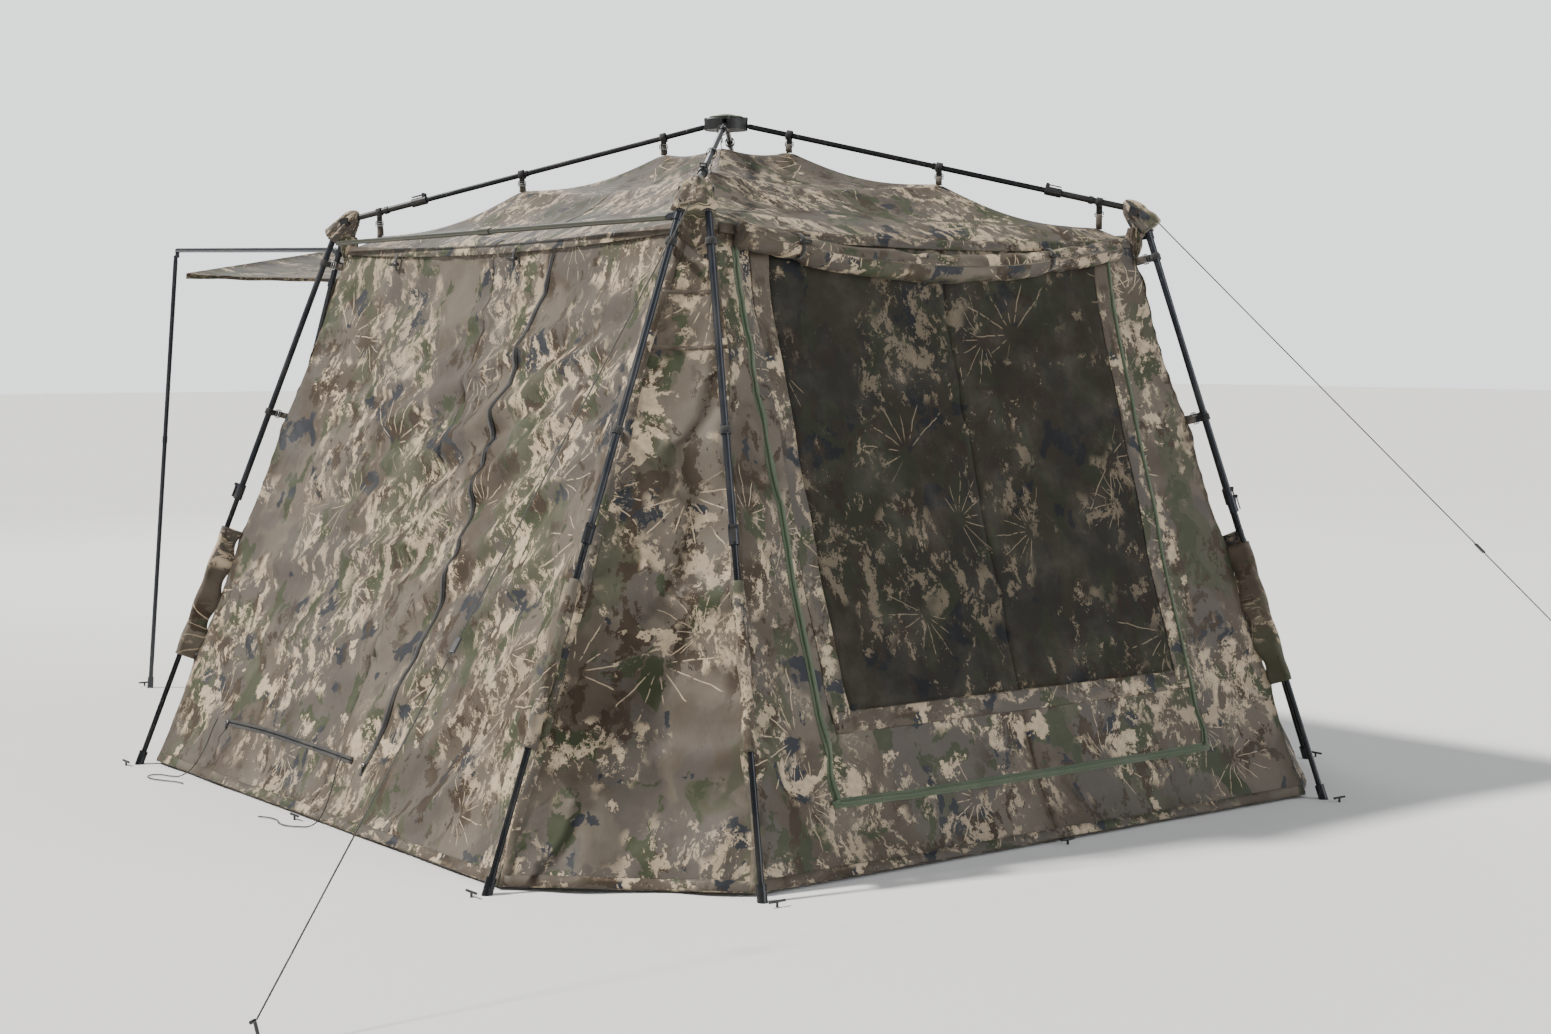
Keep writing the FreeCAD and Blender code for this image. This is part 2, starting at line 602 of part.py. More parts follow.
def end_wall_point(sign_y, x, z):
    """Return the point of the front or rear wall at a place across and a height."""
    top = skin_top(1, sign_y)
    low = hem(1, sign_y, "end")
    share = (top.z - z) / (top.z - low.z)
    return Vector(x, top.y + (low.y - top.y) * share, z)


def end_wall_edge(sign_x, sign_y, z):
    """Return the point of the sloping edge of an end wall at a height."""
    top = skin_top(sign_x, sign_y)
    low = hem(sign_x, sign_y, "end")
    return top + (low - top) * ((top.z - z) / (top.z - low.z))


def roof_skin():
    """Make the four roof panels, which meet under the hub and run under the arms."""
    peak = Vector(0, 0, HUB_HEIGHT - ROOF_DROP_AT_HUB)
    ring = [skin_top(-1, -1), skin_top(1, -1), skin_top(1, 1), skin_top(-1, 1)]
    return [sheet([peak, ring[index], ring[(index + 1) % 4]]) for index in range(4)]


def wall_around(sign_y, half_width, bottom, top):
    """Make the panels of an end wall around its window or doorway."""
    panels = []
    for sign_x in (-1, 1):
        low_edge = end_wall_edge(sign_x, sign_y, bottom)
        high_edge = end_wall_edge(sign_x, sign_y, top)
        panels.append(sheet([low_edge, high_edge, end_wall_point(sign_y, sign_x * half_width, top),
                             end_wall_point(sign_y, sign_x * half_width, bottom)], SKIN_SEAM_GAP / 2))
    panels.append(sheet([end_wall_edge(-1, sign_y, top), end_wall_edge(1, sign_y, top),
                         skin_top(1, sign_y), skin_top(-1, sign_y)], SKIN_SEAM_GAP / 2))
    if bottom > HEM_HEIGHT:
        panels.append(sheet([hem(-1, sign_y, "end"), hem(1, sign_y, "end"),
                             end_wall_edge(1, sign_y, bottom), end_wall_edge(-1, sign_y, bottom)],
                            SKIN_SEAM_GAP / 2))
    return panels


def window_mesh():
    """Make the printed mesh of the front window."""
    return sheet([end_wall_point(-1, -WINDOW_HALF_WIDTH, WINDOW_BOTTOM),
                  end_wall_point(-1, WINDOW_HALF_WIDTH, WINDOW_BOTTOM),
                  end_wall_point(-1, WINDOW_HALF_WIDTH, WINDOW_TOP),
                  end_wall_point(-1, -WINDOW_HALF_WIDTH, WINDOW_TOP)])


def side_wall(sign_x):
    """Make the skin of the left or right side."""
    return sheet([skin_top(sign_x, -1), skin_top(sign_x, 1),
                  hem(sign_x, 1, "side"), hem(sign_x, -1, "side")])


def corner_panels():
    """Make the narrow panels between the two legs of each corner."""
    return [sheet([skin_top(corner.sign_x, corner.sign_y), hem(corner.sign_x, corner.sign_y, "side"),
                   hem(corner.sign_x, corner.sign_y, "end")]) for corner in CORNER.values()]


def flap_roll():
    """Make the rolled window flap, which sags between its ties."""
    out = Vector(0, -FLAP_ROLL_STANDOFF, 0)
    ends = [end_wall_point(-1, sign * FLAP_ROLL_HALF_LENGTH, FLAP_ROLL_HEIGHT) + out for sign in (-1, 1)]
    middle = end_wall_point(-1, 0, FLAP_ROLL_HEIGHT - FLAP_ROLL_SAG) + out
    return join([rod(ends[0], middle, FLAP_ROLL_RADIUS), rod(ends[1], middle, FLAP_ROLL_RADIUS),
                 Part.makeSphere(FLAP_ROLL_RADIUS, middle)])


def awning_sheet():
    """Make the sheet of the awning, hung under its arms."""
    side = AWNING[0]
    near = side.pivot.y + AWNING_SHEET_START
    far = AWNING_TIP_Y - AWNING_SHEET_MARGIN
    near_z = side.pivot.z - AWNING_SHEET_DROP
    far_z = AWNING_TIP_HEIGHT - AWNING_SHEET_DROP
    near_x = abs(side.pivot.x) - AWNING_SHEET_MARGIN
    far_x = AWNING_TIP_X - AWNING_SHEET_MARGIN
    return sheet([Vector(-near_x, near, near_z), Vector(near_x, near, near_z),
                  Vector(far_x, far, far_z), Vector(-far_x, far, far_z)])


def ground_peg(place, head_way):
    """Make what shows of a T-shaped peg above the ground."""
    shaft = rod(place + UP * PEG_CLEARANCE, place + UP * PEG_HEAD_HEIGHT, PEG_RADIUS)
    head = barrel(place + UP * PEG_HEAD_HEIGHT, head_way, PEG_RADIUS, PEG_HEAD_LENGTH)
    return join([shaft, head])


def ground_pegs():
    """Make the pegs beside the legs, at the middles of the hem and behind the awning poles."""
    pegs = []
    across_x = Vector(1, 0, 0)
    across_y = Vector(0, 1, 0)
    for sign_x in (-1, 1):
        for sign_y in (-1, 1):
            side_place = Vector(sign_x * (SIDE_FOOT_X + SIDE_PEG_OFFSET), sign_y * SIDE_FOOT_Y, 0)
            end_place = Vector(sign_x * END_FOOT_X, sign_y * (END_FOOT_Y + END_PEG_OFFSET), 0)
            pegs.append(ground_peg(side_place, across_y))
            pegs.append(ground_peg(end_place, across_x))
        middle_x = SIDE_FOOT_X - SIDE_HEM_INSET + MIDDLE_PEG_OFFSET
        pegs.append(ground_peg(Vector(sign_x * middle_x, 0, 0), across_y))
    middle_y = END_FOOT_Y - END_HEM_INSET + MIDDLE_PEG_OFFSET
    pegs.append(ground_peg(Vector(0, -middle_y, 0), across_x))
    for side in AWNING:
        pegs.append(ground_peg(side.pole_foot + Vector(0, POLE_PEG_OFFSET, 0), across_x))
    return pegs


def guy_start(corner, end):
    """Return the point where a guy line leaves the lug of a corner, with its rim just clear of it."""
    way = unit(end - lug_end(corner))
    rim = GUY_RADIUS * way.cross(corner.along).Length
    return lug_end(corner) + corner.along * (GUY_LUG_GAP + rim)


def guy_end(peg):
    """Return the point where a guy line meets its peg."""
    lean = unit(Vector(peg.x, peg.y, 0)) * GUY_PEG_LEAN + UP
    return peg + unit(lean) * (GUY_PEG_LENGTH - GUY_LOOP_DROP)


def guy_peg(peg):
    """Make what shows of the leaning peg of a guy line, with its hook."""
    lean = unit(unit(Vector(peg.x, peg.y, 0)) * GUY_PEG_LEAN + UP)
    back = unit(Vector(peg.x, peg.y, 0))
    shaft = rod(peg, peg + lean * GUY_PEG_LENGTH, GUY_PEG_RADIUS)
    top = peg + lean * GUY_PEG_LENGTH
    hook_end = top + back * GUY_HOOK_LENGTH
    hook = join([Part.makeSphere(GUY_PEG_RADIUS, top), rod(top, hook_end, GUY_PEG_RADIUS)])
    half = GROUND_BLOCK / 2
    ground = Part.makeBox(GROUND_BLOCK, GROUND_BLOCK, half, peg - Vector(half, half, half - PEG_CLEARANCE))
    return join([shaft, hook]).cut(ground)


def tensioner(start, end):
    """Make the flat slider that tightens a guy line, bored for the cord."""
    way = unit(end - start)
    centre = start + (end - start) * TENSIONER_SHARE
    level = unit(way.cross(UP))
    body = block(centre, way, level, (TENSIONER_LENGTH, TENSIONER_WIDTH, TENSIONER_THICKNESS))
    body = body.makeFillet(TENSIONER_FILLET, body.Edges)
    return body.cut(barrel(centre, way, GUY_RADIUS + SLIDE_GAP, TENSIONER_LENGTH * THROUGH))


def rounded_tube(points, radius, label):
    """Make a cord's tube: straight runs joined by arcs as large as the runs allow."""
    edges = []
    radii = []
    start = points[0]
    for before, point, after in zip(points, points[1:], points[2:]):
        arrive = unit(point - before)
        leave = unit(after - point)
        turn = math.acos(max(-1.0, min(1.0, arrive.dot(leave))))
        trim = RUN_SHARE * min((point - before).Length, (after - point).Length)
        bend = trim / math.tan(turn / 2)
        radii.append(bend)
        first = point - arrive * trim
        last = point + leave * trim
        inward = unit(leave - arrive)
        middle = point + inward * (math.hypot(bend, trim) - bend)
        edges.append(Part.LineSegment(start, first).toShape())
        edges.append(Part.Arc(first, middle, last).toShape())
        start = last
    edges.append(Part.LineSegment(start, points[-1]).toShape())
    path = Part.Wire(edges)
    ring = Part.Wire(Part.makeCircle(radius, points[0], points[1] - points[0]))
    solid = path.makePipeShell([ring], True, False)
    expected = math.pi * radius ** 2 * path.Length
    print(label, "length", round(path.Length, 1), "smallest radius", round(min(radii), 1),
          "volume share", round(solid.Volume / expected, 4))
    return solid


def add_frame():
    """Add the hub, arms, corners, legs, levers and bars."""
    add("hub_body", hub_body())
    add("hub_cap", hub_cap())
    for name, corner in CORNER.items():
        add("roof_arm_" + name, roof_arm(corner))
        add("corner_joint_" + name, corner_joint(corner))
        add("arm_lever_" + name, lever(corner.lever_pivot, corner.along, corner.above))
        for kind, leg in corner.legs.items():
            tail = name + "_" + kind
            add("leg_upper_" + tail, leg_upper(leg))
            add("leg_lower_" + tail, *leg_lower(leg))
            add("leg_lever_" + tail, lever(leg.lever_pivot, leg.down, leg.outward))
            print(tail, "folds", round(leg.fold_angle, 1), "slides", round(leg.slide, 1))
        print(name, "arm slides", round(corner.slide, 1))
    for bar in BARS:
        add(bar.name, cross_bar(bar))
        print(bar.name, "folds", round(bar.fold_angle, 1))
    print("arms fold", ARM_FOLD_ANGLE, "levers", LEVER_OPEN_ANGLE, "awning", AWNING_FOLD_ANGLE,
          "poles", POLE_FOLD_ANGLE)
    for side in AWNING:
        add("awning_arm_" + side.name, awning_arm(side))
        add("storm_pole_" + side.name, storm_pole(side))


def add_skin():
    """Add the panels of the skin and the awning."""
    add("roof_skin", *roof_skin())
    add("front_wall", *wall_around(-1, WINDOW_HALF_WIDTH, WINDOW_BOTTOM, WINDOW_TOP))
    add("front_window_mesh", window_mesh())
    add("left_wall", side_wall(-1))
    add("right_wall", side_wall(1))
    add("rear_wall", *wall_around(1, DOORWAY_HALF_WIDTH, HEM_HEIGHT, DOORWAY_TOP))
    add("corner_panels", *corner_panels())
    add("front_flap_roll", flap_roll())
    add("awning_sheet", awning_sheet())


def add_pegs_and_cords():
    """Add the pegs, the two guy lines with their pegs and sliders, and the two door ties."""
    add("ground_pegs", *ground_pegs())
    hardware = []
    for name, peg in (("left", LEFT_GUY_PEG), ("right", RIGHT_GUY_PEG)):
        corner = CORNER["front_" + name]
        end = guy_end(peg)
        end = end - unit(end - lug_end(corner)) * (GUY_PEG_RADIUS + GUY_PEG_GAP)
        start = guy_start(corner, end)
        add("guy_line_" + name, rod(start, end, GUY_RADIUS))
        print("guy_line_" + name, "length", round((end - start).Length, 1), "straight")
        hardware += [guy_peg(peg), tensioner(start, end)]
    add("guy_hardware", *hardware)
    add("door_tie_rear", rounded_tube(DOOR_TIE_REAR, TIE_RADIUS, "door_tie_rear"))
    add("door_tie_front", rounded_tube(DOOR_TIE_FRONT, TIE_RADIUS, "door_tie_front"))


CORD_NODES = ("guy_line_left", "guy_line_right", "guy_hardware", "door_tie_rear", "door_tie_front")


def find_origin():
    """Return the centre of the footprint of everything but the cords."""
    box = FreeCAD.BoundBox()
    for name, shapes in SOLIDS.items():
        if name in CORD_NODES:
            continue
        for shape in shapes:
            box.add(shape.optimalBoundingBox(False, False))
    return Vector(box.Center.x, box.Center.y, 0)


def write_parts(origin):
    """Move every node to the origin and write one STEP file for each."""
    os.makedirs("parts", exist_ok=True)
    for name, shapes in SOLIDS.items():
        placed = []
        for shape in shapes:
            copy = shape.copy()
            copy.translate(origin * -1)
            placed += copy.Solids
        result = placed[0] if len(placed) == 1 else Part.makeCompound(placed)
        result.exportStep("parts/" + name + ".step")


add_frame()
add_skin()
add_pegs_and_cords()
ORIGIN = find_origin()
write_parts(ORIGIN)
print(len(SOLIDS), "nodes, origin at", round(ORIGIN.x, 2), round(ORIGIN.y, 2))
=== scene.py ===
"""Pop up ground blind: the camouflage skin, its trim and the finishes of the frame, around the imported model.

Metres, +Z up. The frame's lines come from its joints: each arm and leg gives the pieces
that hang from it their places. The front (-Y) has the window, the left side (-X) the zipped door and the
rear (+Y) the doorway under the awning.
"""
import json
import math

import bpy
import bmesh
import numpy as np
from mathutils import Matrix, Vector, noise


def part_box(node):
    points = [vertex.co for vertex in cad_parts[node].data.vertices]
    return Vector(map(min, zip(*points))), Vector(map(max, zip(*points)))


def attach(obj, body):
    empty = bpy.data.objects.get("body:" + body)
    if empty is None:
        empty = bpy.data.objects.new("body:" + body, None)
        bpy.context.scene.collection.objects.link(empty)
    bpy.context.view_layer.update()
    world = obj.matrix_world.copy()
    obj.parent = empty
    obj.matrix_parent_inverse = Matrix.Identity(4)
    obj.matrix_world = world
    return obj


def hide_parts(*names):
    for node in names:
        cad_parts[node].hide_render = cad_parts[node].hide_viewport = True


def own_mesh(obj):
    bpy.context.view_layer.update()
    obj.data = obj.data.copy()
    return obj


bl_info = {
    "name": "Pop Up Blind",
    "version": (1, 0, 0),
    "blender": (4, 5, 0),
    "location": "3D View > Sidebar > Blind",
    "description": "Makes the skin, trim and finishes of a pop up ground blind around its frame",
    "category": "Object",
}

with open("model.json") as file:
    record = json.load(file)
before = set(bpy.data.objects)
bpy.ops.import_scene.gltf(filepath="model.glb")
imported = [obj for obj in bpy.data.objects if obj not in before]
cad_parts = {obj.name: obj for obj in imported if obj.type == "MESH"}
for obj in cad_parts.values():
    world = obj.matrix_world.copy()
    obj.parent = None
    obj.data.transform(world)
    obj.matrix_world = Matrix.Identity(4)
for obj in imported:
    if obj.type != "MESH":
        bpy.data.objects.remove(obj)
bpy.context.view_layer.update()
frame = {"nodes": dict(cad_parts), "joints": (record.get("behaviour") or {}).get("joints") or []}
JOINTS = {joint["name"]: joint for joint in frame["joints"]}
CORNERS = {"front_left": (-1, -1), "rear_left": (-1, 1), "front_right": (1, -1), "rear_right": (1, 1)}
UP = Vector((0, 0, 1))


def node_centre(name):
    """Return the middle of a node's box."""
    low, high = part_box(name)
    return (low + high) / 2


def away_from(vector, direction):
    """Return the unit of what is left of a vector without its share along a unit direction."""
    return (vector - direction * vector.dot(direction)).normalized()


class Line:
    """The axis of a tube: where it turns, the way it runs, and the body that it moves with."""

    def __init__(self, start, way, length, body):
        self.start = Vector(start)
        self.way = Vector(way).normalized()
        self.length = length
        self.body = body

    def at(self, share):
        """Return the point at a share of the length."""
        return self.start + self.way * (self.length * share)


def read_arm(name):
    """Read an arm's line from its hub hinge and its sleeve's slide."""
    hinge = "frame_fold" if name == "front_left" else f"arm_{name}_hinge"
    start = Vector(JOINTS[hinge]["pos_m"])
    way = -Vector(JOINTS[f"{name}_arm_slide"]["axis"])
    low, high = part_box(f"corner_joint_{name}")
    reach = (max(abs(low.x), abs(high.x)) - HEAD_REACH - abs(start.x)) / abs(way.x)
    return Line(start, way, reach, f"arm_{name}")


def read_leg(name, kind):
    """Read a leg's line from its hinge, its slide and the ground."""
    start = Vector(JOINTS[f"leg_hinge_{name}_{kind}"]["pos_m"])
    way = -Vector(JOINTS[f"leg_slide_{name}_{kind}"]["axis"])
    return Line(start, way, start.z / -way.z, f"leg_{name}_{kind}")


HEAD_REACH = 0.043
HUB = node_centre("hub_body")
ARMS = {name: read_arm(name) for name in CORNERS}
LEGS = {(name, kind): read_leg(name, kind) for name in CORNERS for kind in ("side", "end")}
SKIN_LOW, SKIN_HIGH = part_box("roof_skin")
WINDOW_LOW, WINDOW_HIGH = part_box("front_window_mesh")
ROLL_LOW, ROLL_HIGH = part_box("front_flap_roll")
SHEET_LOW, SHEET_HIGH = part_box("awning_sheet")
SKIN_HALF_DEPTH = SKIN_HIGH.y - HUB.y
SIDES = {"front": ("front_left", "front_right", "end"), "rear": ("rear_left", "rear_right", "end"),
         "left": ("front_left", "rear_left", "side"), "right": ("front_right", "rear_right", "side")}
OUTSIDE = {"front": Vector((0, -1, 0.3)), "rear": Vector((0, 1, 0.3)),
           "left": Vector((-1, 0, 0.4)), "right": Vector((1, 0, 0.4))}


# ---------------------------------------------------------------- sizes and colours

def length_property(name, description, default):
    """Return a length that a user can change."""
    return bpy.props.FloatProperty(name=name, description=description, default=default, unit="LENGTH")


def colour_property(name, description, default):
    """Return a colour that a user can change."""
    return bpy.props.FloatVectorProperty(name=name, description=description, default=default,
                                         subtype="COLOR", size=3, min=0, max=1)


class BlindSizes(bpy.types.PropertyGroup):
    """The sizes of the skin and its trim."""

    cloth: length_property("Cloth", "Thickness of the skin", 0.0012)
    hem_height: length_property("Hem height", "Height of the hem above the ground", 0.010)
    leg_gap: length_property("Leg gap", "Distance of the seams inside the legs at the hem", 0.050)
    corner_width: length_property("Corner width", "Width of a corner panel at its top", 0.085)
    eave_sag: length_property("Eave sag", "How far the eaves hang between the corners", 0.030)
    ridge_drop: length_property("Ridge drop", "Distance of the roof under its arm straps", 0.055)
    peak_drop: length_property("Peak drop", "Distance of the roof's peak under the arms at the hub", 0.095)
    strap_width: length_property("Strap width", "Width of the webbing straps", 0.020)
    seam_width: length_property("Seam width", "Width of the taped seams", 0.024)
    piping: length_property("Piping", "Diameter of the window's piping", 0.009)
    zip_width: length_property("Zip width", "Width of the closed zip with its tape", 0.022)
    roll: length_property("Roll", "Radius of the rolled window flap", 0.036)
    boot: length_property("Boot", "Radius of the cloth boots over the corner fittings", 0.060)
    valance: length_property("Valance", "Depth of the awning's front edge", 0.065)
    stitch: length_property("Stitch", "Length of one stitch", 0.005)


class BlindColours(bpy.types.PropertyGroup):
    """The colours of the print, the trim and the frame."""

    ground: colour_property("Ground", "Taupe ground of the print", (0.132, 0.110, 0.086))
    green: colour_property("Green", "Olive green of the print", (0.048, 0.056, 0.030))
    brown: colour_property("Brown", "Dark brown of the print", (0.048, 0.033, 0.021))
    slate: colour_property("Slate", "Blue grey of the print", (0.026, 0.029, 0.036))
    cream: colour_property("Cream", "Cream patches and twigs of the print", (0.520, 0.415, 0.285))
    mesh_ground: colour_property("Mesh ground", "Dark ground of the window mesh", (0.024, 0.021, 0.013))
    trim: colour_property("Trim", "Olive of the piping and the webbing", (0.060, 0.085, 0.048))
    black: colour_property("Black", "Black of zips, tape and moulded pieces", (0.012, 0.012, 0.013))
    tube: colour_property("Tube", "Slate of the coated tubes", (0.022, 0.026, 0.034))
    steel: colour_property("Steel", "Bare steel of buckles and pegs", (0.42, 0.42, 0.42))


# ---------------------------------------------------------------- shader nodes

class Tree:
    """Adds nodes to a node tree. A value is a number, a colour or another node's socket."""

    def __init__(self, tree):
        self.tree = tree

    def link(self, source, socket):
        """Join an output to an input."""
        self.tree.links.new(source, socket)

    def add(self, kind, settings=None, inputs=None):
        """Add a node and fill its inputs, named by name or number."""
        node = self.tree.nodes.new(kind)
        for key, value in (settings or {}).items():
            setattr(node, key, value)
        for key, value in (inputs or {}).items():
            socket = node.inputs[key]
            if isinstance(value, bpy.types.NodeSocket):
                self.link(value, socket)
            else:
                socket.default_value = value
        return node

    def sum(self, operation, first, second=0.0, third=0.0):
        """Return the result of a math node."""
        node = self.add("ShaderNodeMath", {"operation": operation}, {0: first, 1: second, 2: third})
        return node.outputs[0]

    def vector(self, operation, first, second=(0, 0, 0)):
        """Return the result of a vector math node."""
        return self.add("ShaderNodeVectorMath", {"operation": operation}, {0: first, 1: second}).outputs[0]

    def scaled(self, vector, scale):
        """Return a vector times a number."""
        node = self.add("ShaderNodeVectorMath", {"operation": "SCALE"}, {0: vector})
        if isinstance(scale, bpy.types.NodeSocket):
            self.link(scale, node.inputs["Scale"])
        else:
            node.inputs["Scale"].default_value = scale
        return node.outputs[0]

    def step(self, value, low, high):
        """Return 0 below low, 1 above high and a smooth rise between them."""
        node = self.add("ShaderNodeMapRange", {"interpolation_type": "SMOOTHSTEP"},
                        {"Value": value, "From Min": low, "From Max": high})
        return node.outputs[0]

    def noise(self, vector, scale, detail=3.0, roughness=0.55, shift=(0, 0, 0)):
        """Return a noise value of a shifted vector."""
        moved = self.vector("ADD", vector, shift)
        node = self.add("ShaderNodeTexNoise", None,
                        {"Vector": moved, "Scale": scale, "Detail": detail, "Roughness": roughness})
        return node.outputs[0]

    def mix(self, share, first, second, blend="MIX"):
        """Return a mix of two colours."""
        node = self.add("ShaderNodeMix", {"data_type": "RGBA", "blend_type": blend}, {0: share})
        for index, value in ((6, first), (7, second)):
            if isinstance(value, bpy.types.NodeSocket):
                self.link(value, node.inputs[index])
            else:
                node.inputs[index].default_value = (*value[:3], 1.0)
        return node.outputs[2]


def new_group(name, inputs, outputs):
    """Make a shader node group with named sockets and return it with its tools and group input."""
    group = bpy.data.node_groups.new(name, "ShaderNodeTree")
    kinds = {"v": "NodeSocketVector", "f": "NodeSocketFloat", "c": "NodeSocketColor"}
    for label, kind, default in inputs:
        socket = group.interface.new_socket(label, in_out="INPUT", socket_type=kinds[kind])
        if kind != "v":
            socket.default_value = default if kind == "f" else (*default, 1.0)
    for label, kind in outputs:
        group.interface.new_socket(label, in_out="OUTPUT", socket_type=kinds[kind])
    entry = group.nodes.new("NodeGroupInput")
    leave = group.nodes.new("NodeGroupOutput")
    return group, Tree(group), entry.outputs, leave.inputs


def twig_mask(tree, vector, scale, shift, blades, thickness):
    """Return a mask of fans of thin twigs that spread from scattered points."""
    moved = tree.scaled(tree.vector("ADD", vector, shift), scale)
    cells = tree.add("ShaderNodeTexVoronoi", {"voronoi_dimensions": "2D"},
                     {"Vector": moved, "Scale": 1.0, "Randomness": 0.85})
    offset = tree.vector("SUBTRACT", moved, cells.outputs["Position"])
    parts = tree.add("ShaderNodeSeparateXYZ", None, {0: offset})
    chance = tree.add("ShaderNodeSeparateColor", None, {0: cells.outputs["Color"]})
    length = tree.add("ShaderNodeVectorMath", {"operation": "LENGTH"}, {0: offset}).outputs["Value"]
    angle = tree.sum("ARCTAN2", parts.outputs[1], parts.outputs[0])
    turned = tree.sum("MULTIPLY_ADD", chance.outputs[0], 6.283, angle)
    wobble = tree.noise(moved, 7.0, 2.0, 0.5)
    swing = tree.sum("MULTIPLY_ADD", wobble, 1.1, tree.sum("MULTIPLY", turned, blades / 2))
    across = tree.sum("MULTIPLY", tree.sum("ABSOLUTE", tree.sum("SINE", swing)), length)
    line = tree.step(across, thickness, thickness * 0.45)
    ragged = tree.noise(moved, 16.0, 3.0, 0.6)
    outer = tree.sum("MULTIPLY_ADD", tree.sum("SINE", tree.sum("MULTIPLY", turned, 3.0)), 0.09, 0.30)
    inside = tree.step(tree.sum("SUBTRACT", outer, length), 0.0, 0.04)
    open_middle = tree.step(length, 0.05, 0.09)
    sector = tree.step(tree.sum("COSINE", turned), -0.35, -0.15)
    broken = tree.step(ragged, 0.40, 0.46)
    chosen = tree.step(chance.outputs[1], 0.30, 0.32)
    mask = line
    for factor in (inside, open_middle, sector, broken, chosen):
        mask = tree.sum("MULTIPLY", mask, factor)
    return mask


def print_group():
    """Make the print: ragged patches over a soft ground, with fans of twigs."""
    inputs = [("Vector", "v", None), ("Ground", "c", (0.2, 0.2, 0.2)), ("Green", "c", (0.1, 0.1, 0.1)),
              ("Brown", "c", (0.1, 0.1, 0.1)), ("Slate", "c", (0.1, 0.1, 0.1)),
              ("Cream", "c", (0.5, 0.4, 0.3)),
              ("Cream share", "f", 1.0), ("Flake cut", "f", 0.0)]
    group, tree, entry, leave = new_group("leaf and twig print", inputs, [("Color", "c"), ("Light", "f")])
    vector = entry["Vector"]
    coarse = tree.add("ShaderNodeTexNoise", None, {"Vector": vector, "Scale": 6.0, "Detail": 2.0})
    warp = tree.scaled(tree.vector("SUBTRACT", coarse.outputs["Color"], (0.5, 0.5, 0.5)), 0.12)
    fine = tree.add("ShaderNodeTexNoise", None, {"Vector": vector, "Scale": 60.0, "Detail": 3.0})
    fray = tree.scaled(tree.vector("SUBTRACT", fine.outputs["Color"], (0.5, 0.5, 0.5)), 0.022)
    bent = tree.vector("ADD", tree.vector("ADD", vector, warp), fray)
    upright = tree.vector("MULTIPLY", bent, (1.0, 0.62, 1.0))

    def layer(colour, where, scale, low, high, shift, tint, detail=4.0, rough=0.6, zone=None):
        mask = tree.step(tree.noise(where, scale, detail, rough, (*shift, 0)), low, high)
        if zone is not None:
            mask = tree.sum("MULTIPLY", mask, zone)
        return tree.mix(mask, colour, tint)

    umber = tree.mix(0.55, entry["Ground"], entry["Brown"])
    moss = tree.mix(0.30, entry["Green"], entry["Ground"])
    stone = tree.mix(0.62, entry["Slate"], entry["Ground"])
    tan = tree.mix(0.42, entry["Cream"], entry["Ground"])
    colour = layer(entry["Ground"], bent, 2.6, 0.44, 0.54, (3.1, 1.7), umber, 3.0, 0.5)
    colour = layer(colour, upright, 2.3, 0.50, 0.53, (5.3, 4.2), stone, 4.0, 0.55)
    colour = layer(colour, upright, 2.7, 0.55, 0.57, (8.3, 2.2), moss)
    colour = layer(colour, upright, 7.5, 0.57, 0.585, (1.4, 9.6), entry["Green"])
    colour = layer(colour, bent, 4.6, 0.60, 0.612, (5.9, 6.1), entry["Slate"], 4.0, 0.6)
    bark_zone = tree.step(tree.noise(vector, 2.2, 2.0, 0.5, (7.7, 0.9, 0)), 0.42, 0.52)
    colour = layer(colour, upright, 13.0, 0.54, 0.555, (2.8, 4.4), entry["Brown"], 6.0, 0.68, bark_zone)
    tan_zone = tree.step(tree.noise(vector, 2.4, 3.0, 0.55, (6.2, 2.3, 0)), 0.50, 0.56)
    colour = layer(colour, upright, 20.0, 0.535, 0.55, (3.6, 8.2), tan, 7.0, 0.74,
                   tree.sum("MULTIPLY", tan_zone, entry["Cream share"]))
    flake_zone = tree.step(tree.noise(vector, 2.5, 4.0, 0.6, (4.2, 7.3, 0)), 0.50, 0.56)
    speck = tree.sum("SUBTRACT", tree.noise(upright, 22.0, 8.0, 0.76, (0.6, 5.2, 0)), entry["Flake cut"])
    flakes = tree.step(speck, 0.53, 0.542)
    blotch = tree.sum("SUBTRACT", tree.noise(bent, 3.2, 8.0, 0.66, (9.1, 3.3, 0)), entry["Flake cut"])
    patch = tree.step(blotch, 0.625, 0.632)
    cream = tree.sum("MAXIMUM", tree.sum("MULTIPLY", flakes, flake_zone), patch)
    cream = tree.sum("MULTIPLY", cream, entry["Cream share"])
    twigs = tree.sum("MAXIMUM", twig_mask(tree, vector, 2.6, (0.0, 0.0, 0.0), 15, 0.030),
                     twig_mask(tree, vector, 1.9, (3.7, 5.1, 0.0), 13, 0.026))
    light = tree.sum("MAXIMUM", cream, twigs)
    tint = tree.noise(vector, 60.0, 2.0, 0.5, (1.1, 1.3, 0))
    faded = tree.mix(0.30, entry["Cream"], entry["Ground"])
    pale = tree.mix(tree.step(tint, 0.3, 0.7), entry["Cream"], faded)
    tree.link(tree.mix(light, colour, pale), leave["Color"])
    tree.link(light, leave["Light"])
    return group


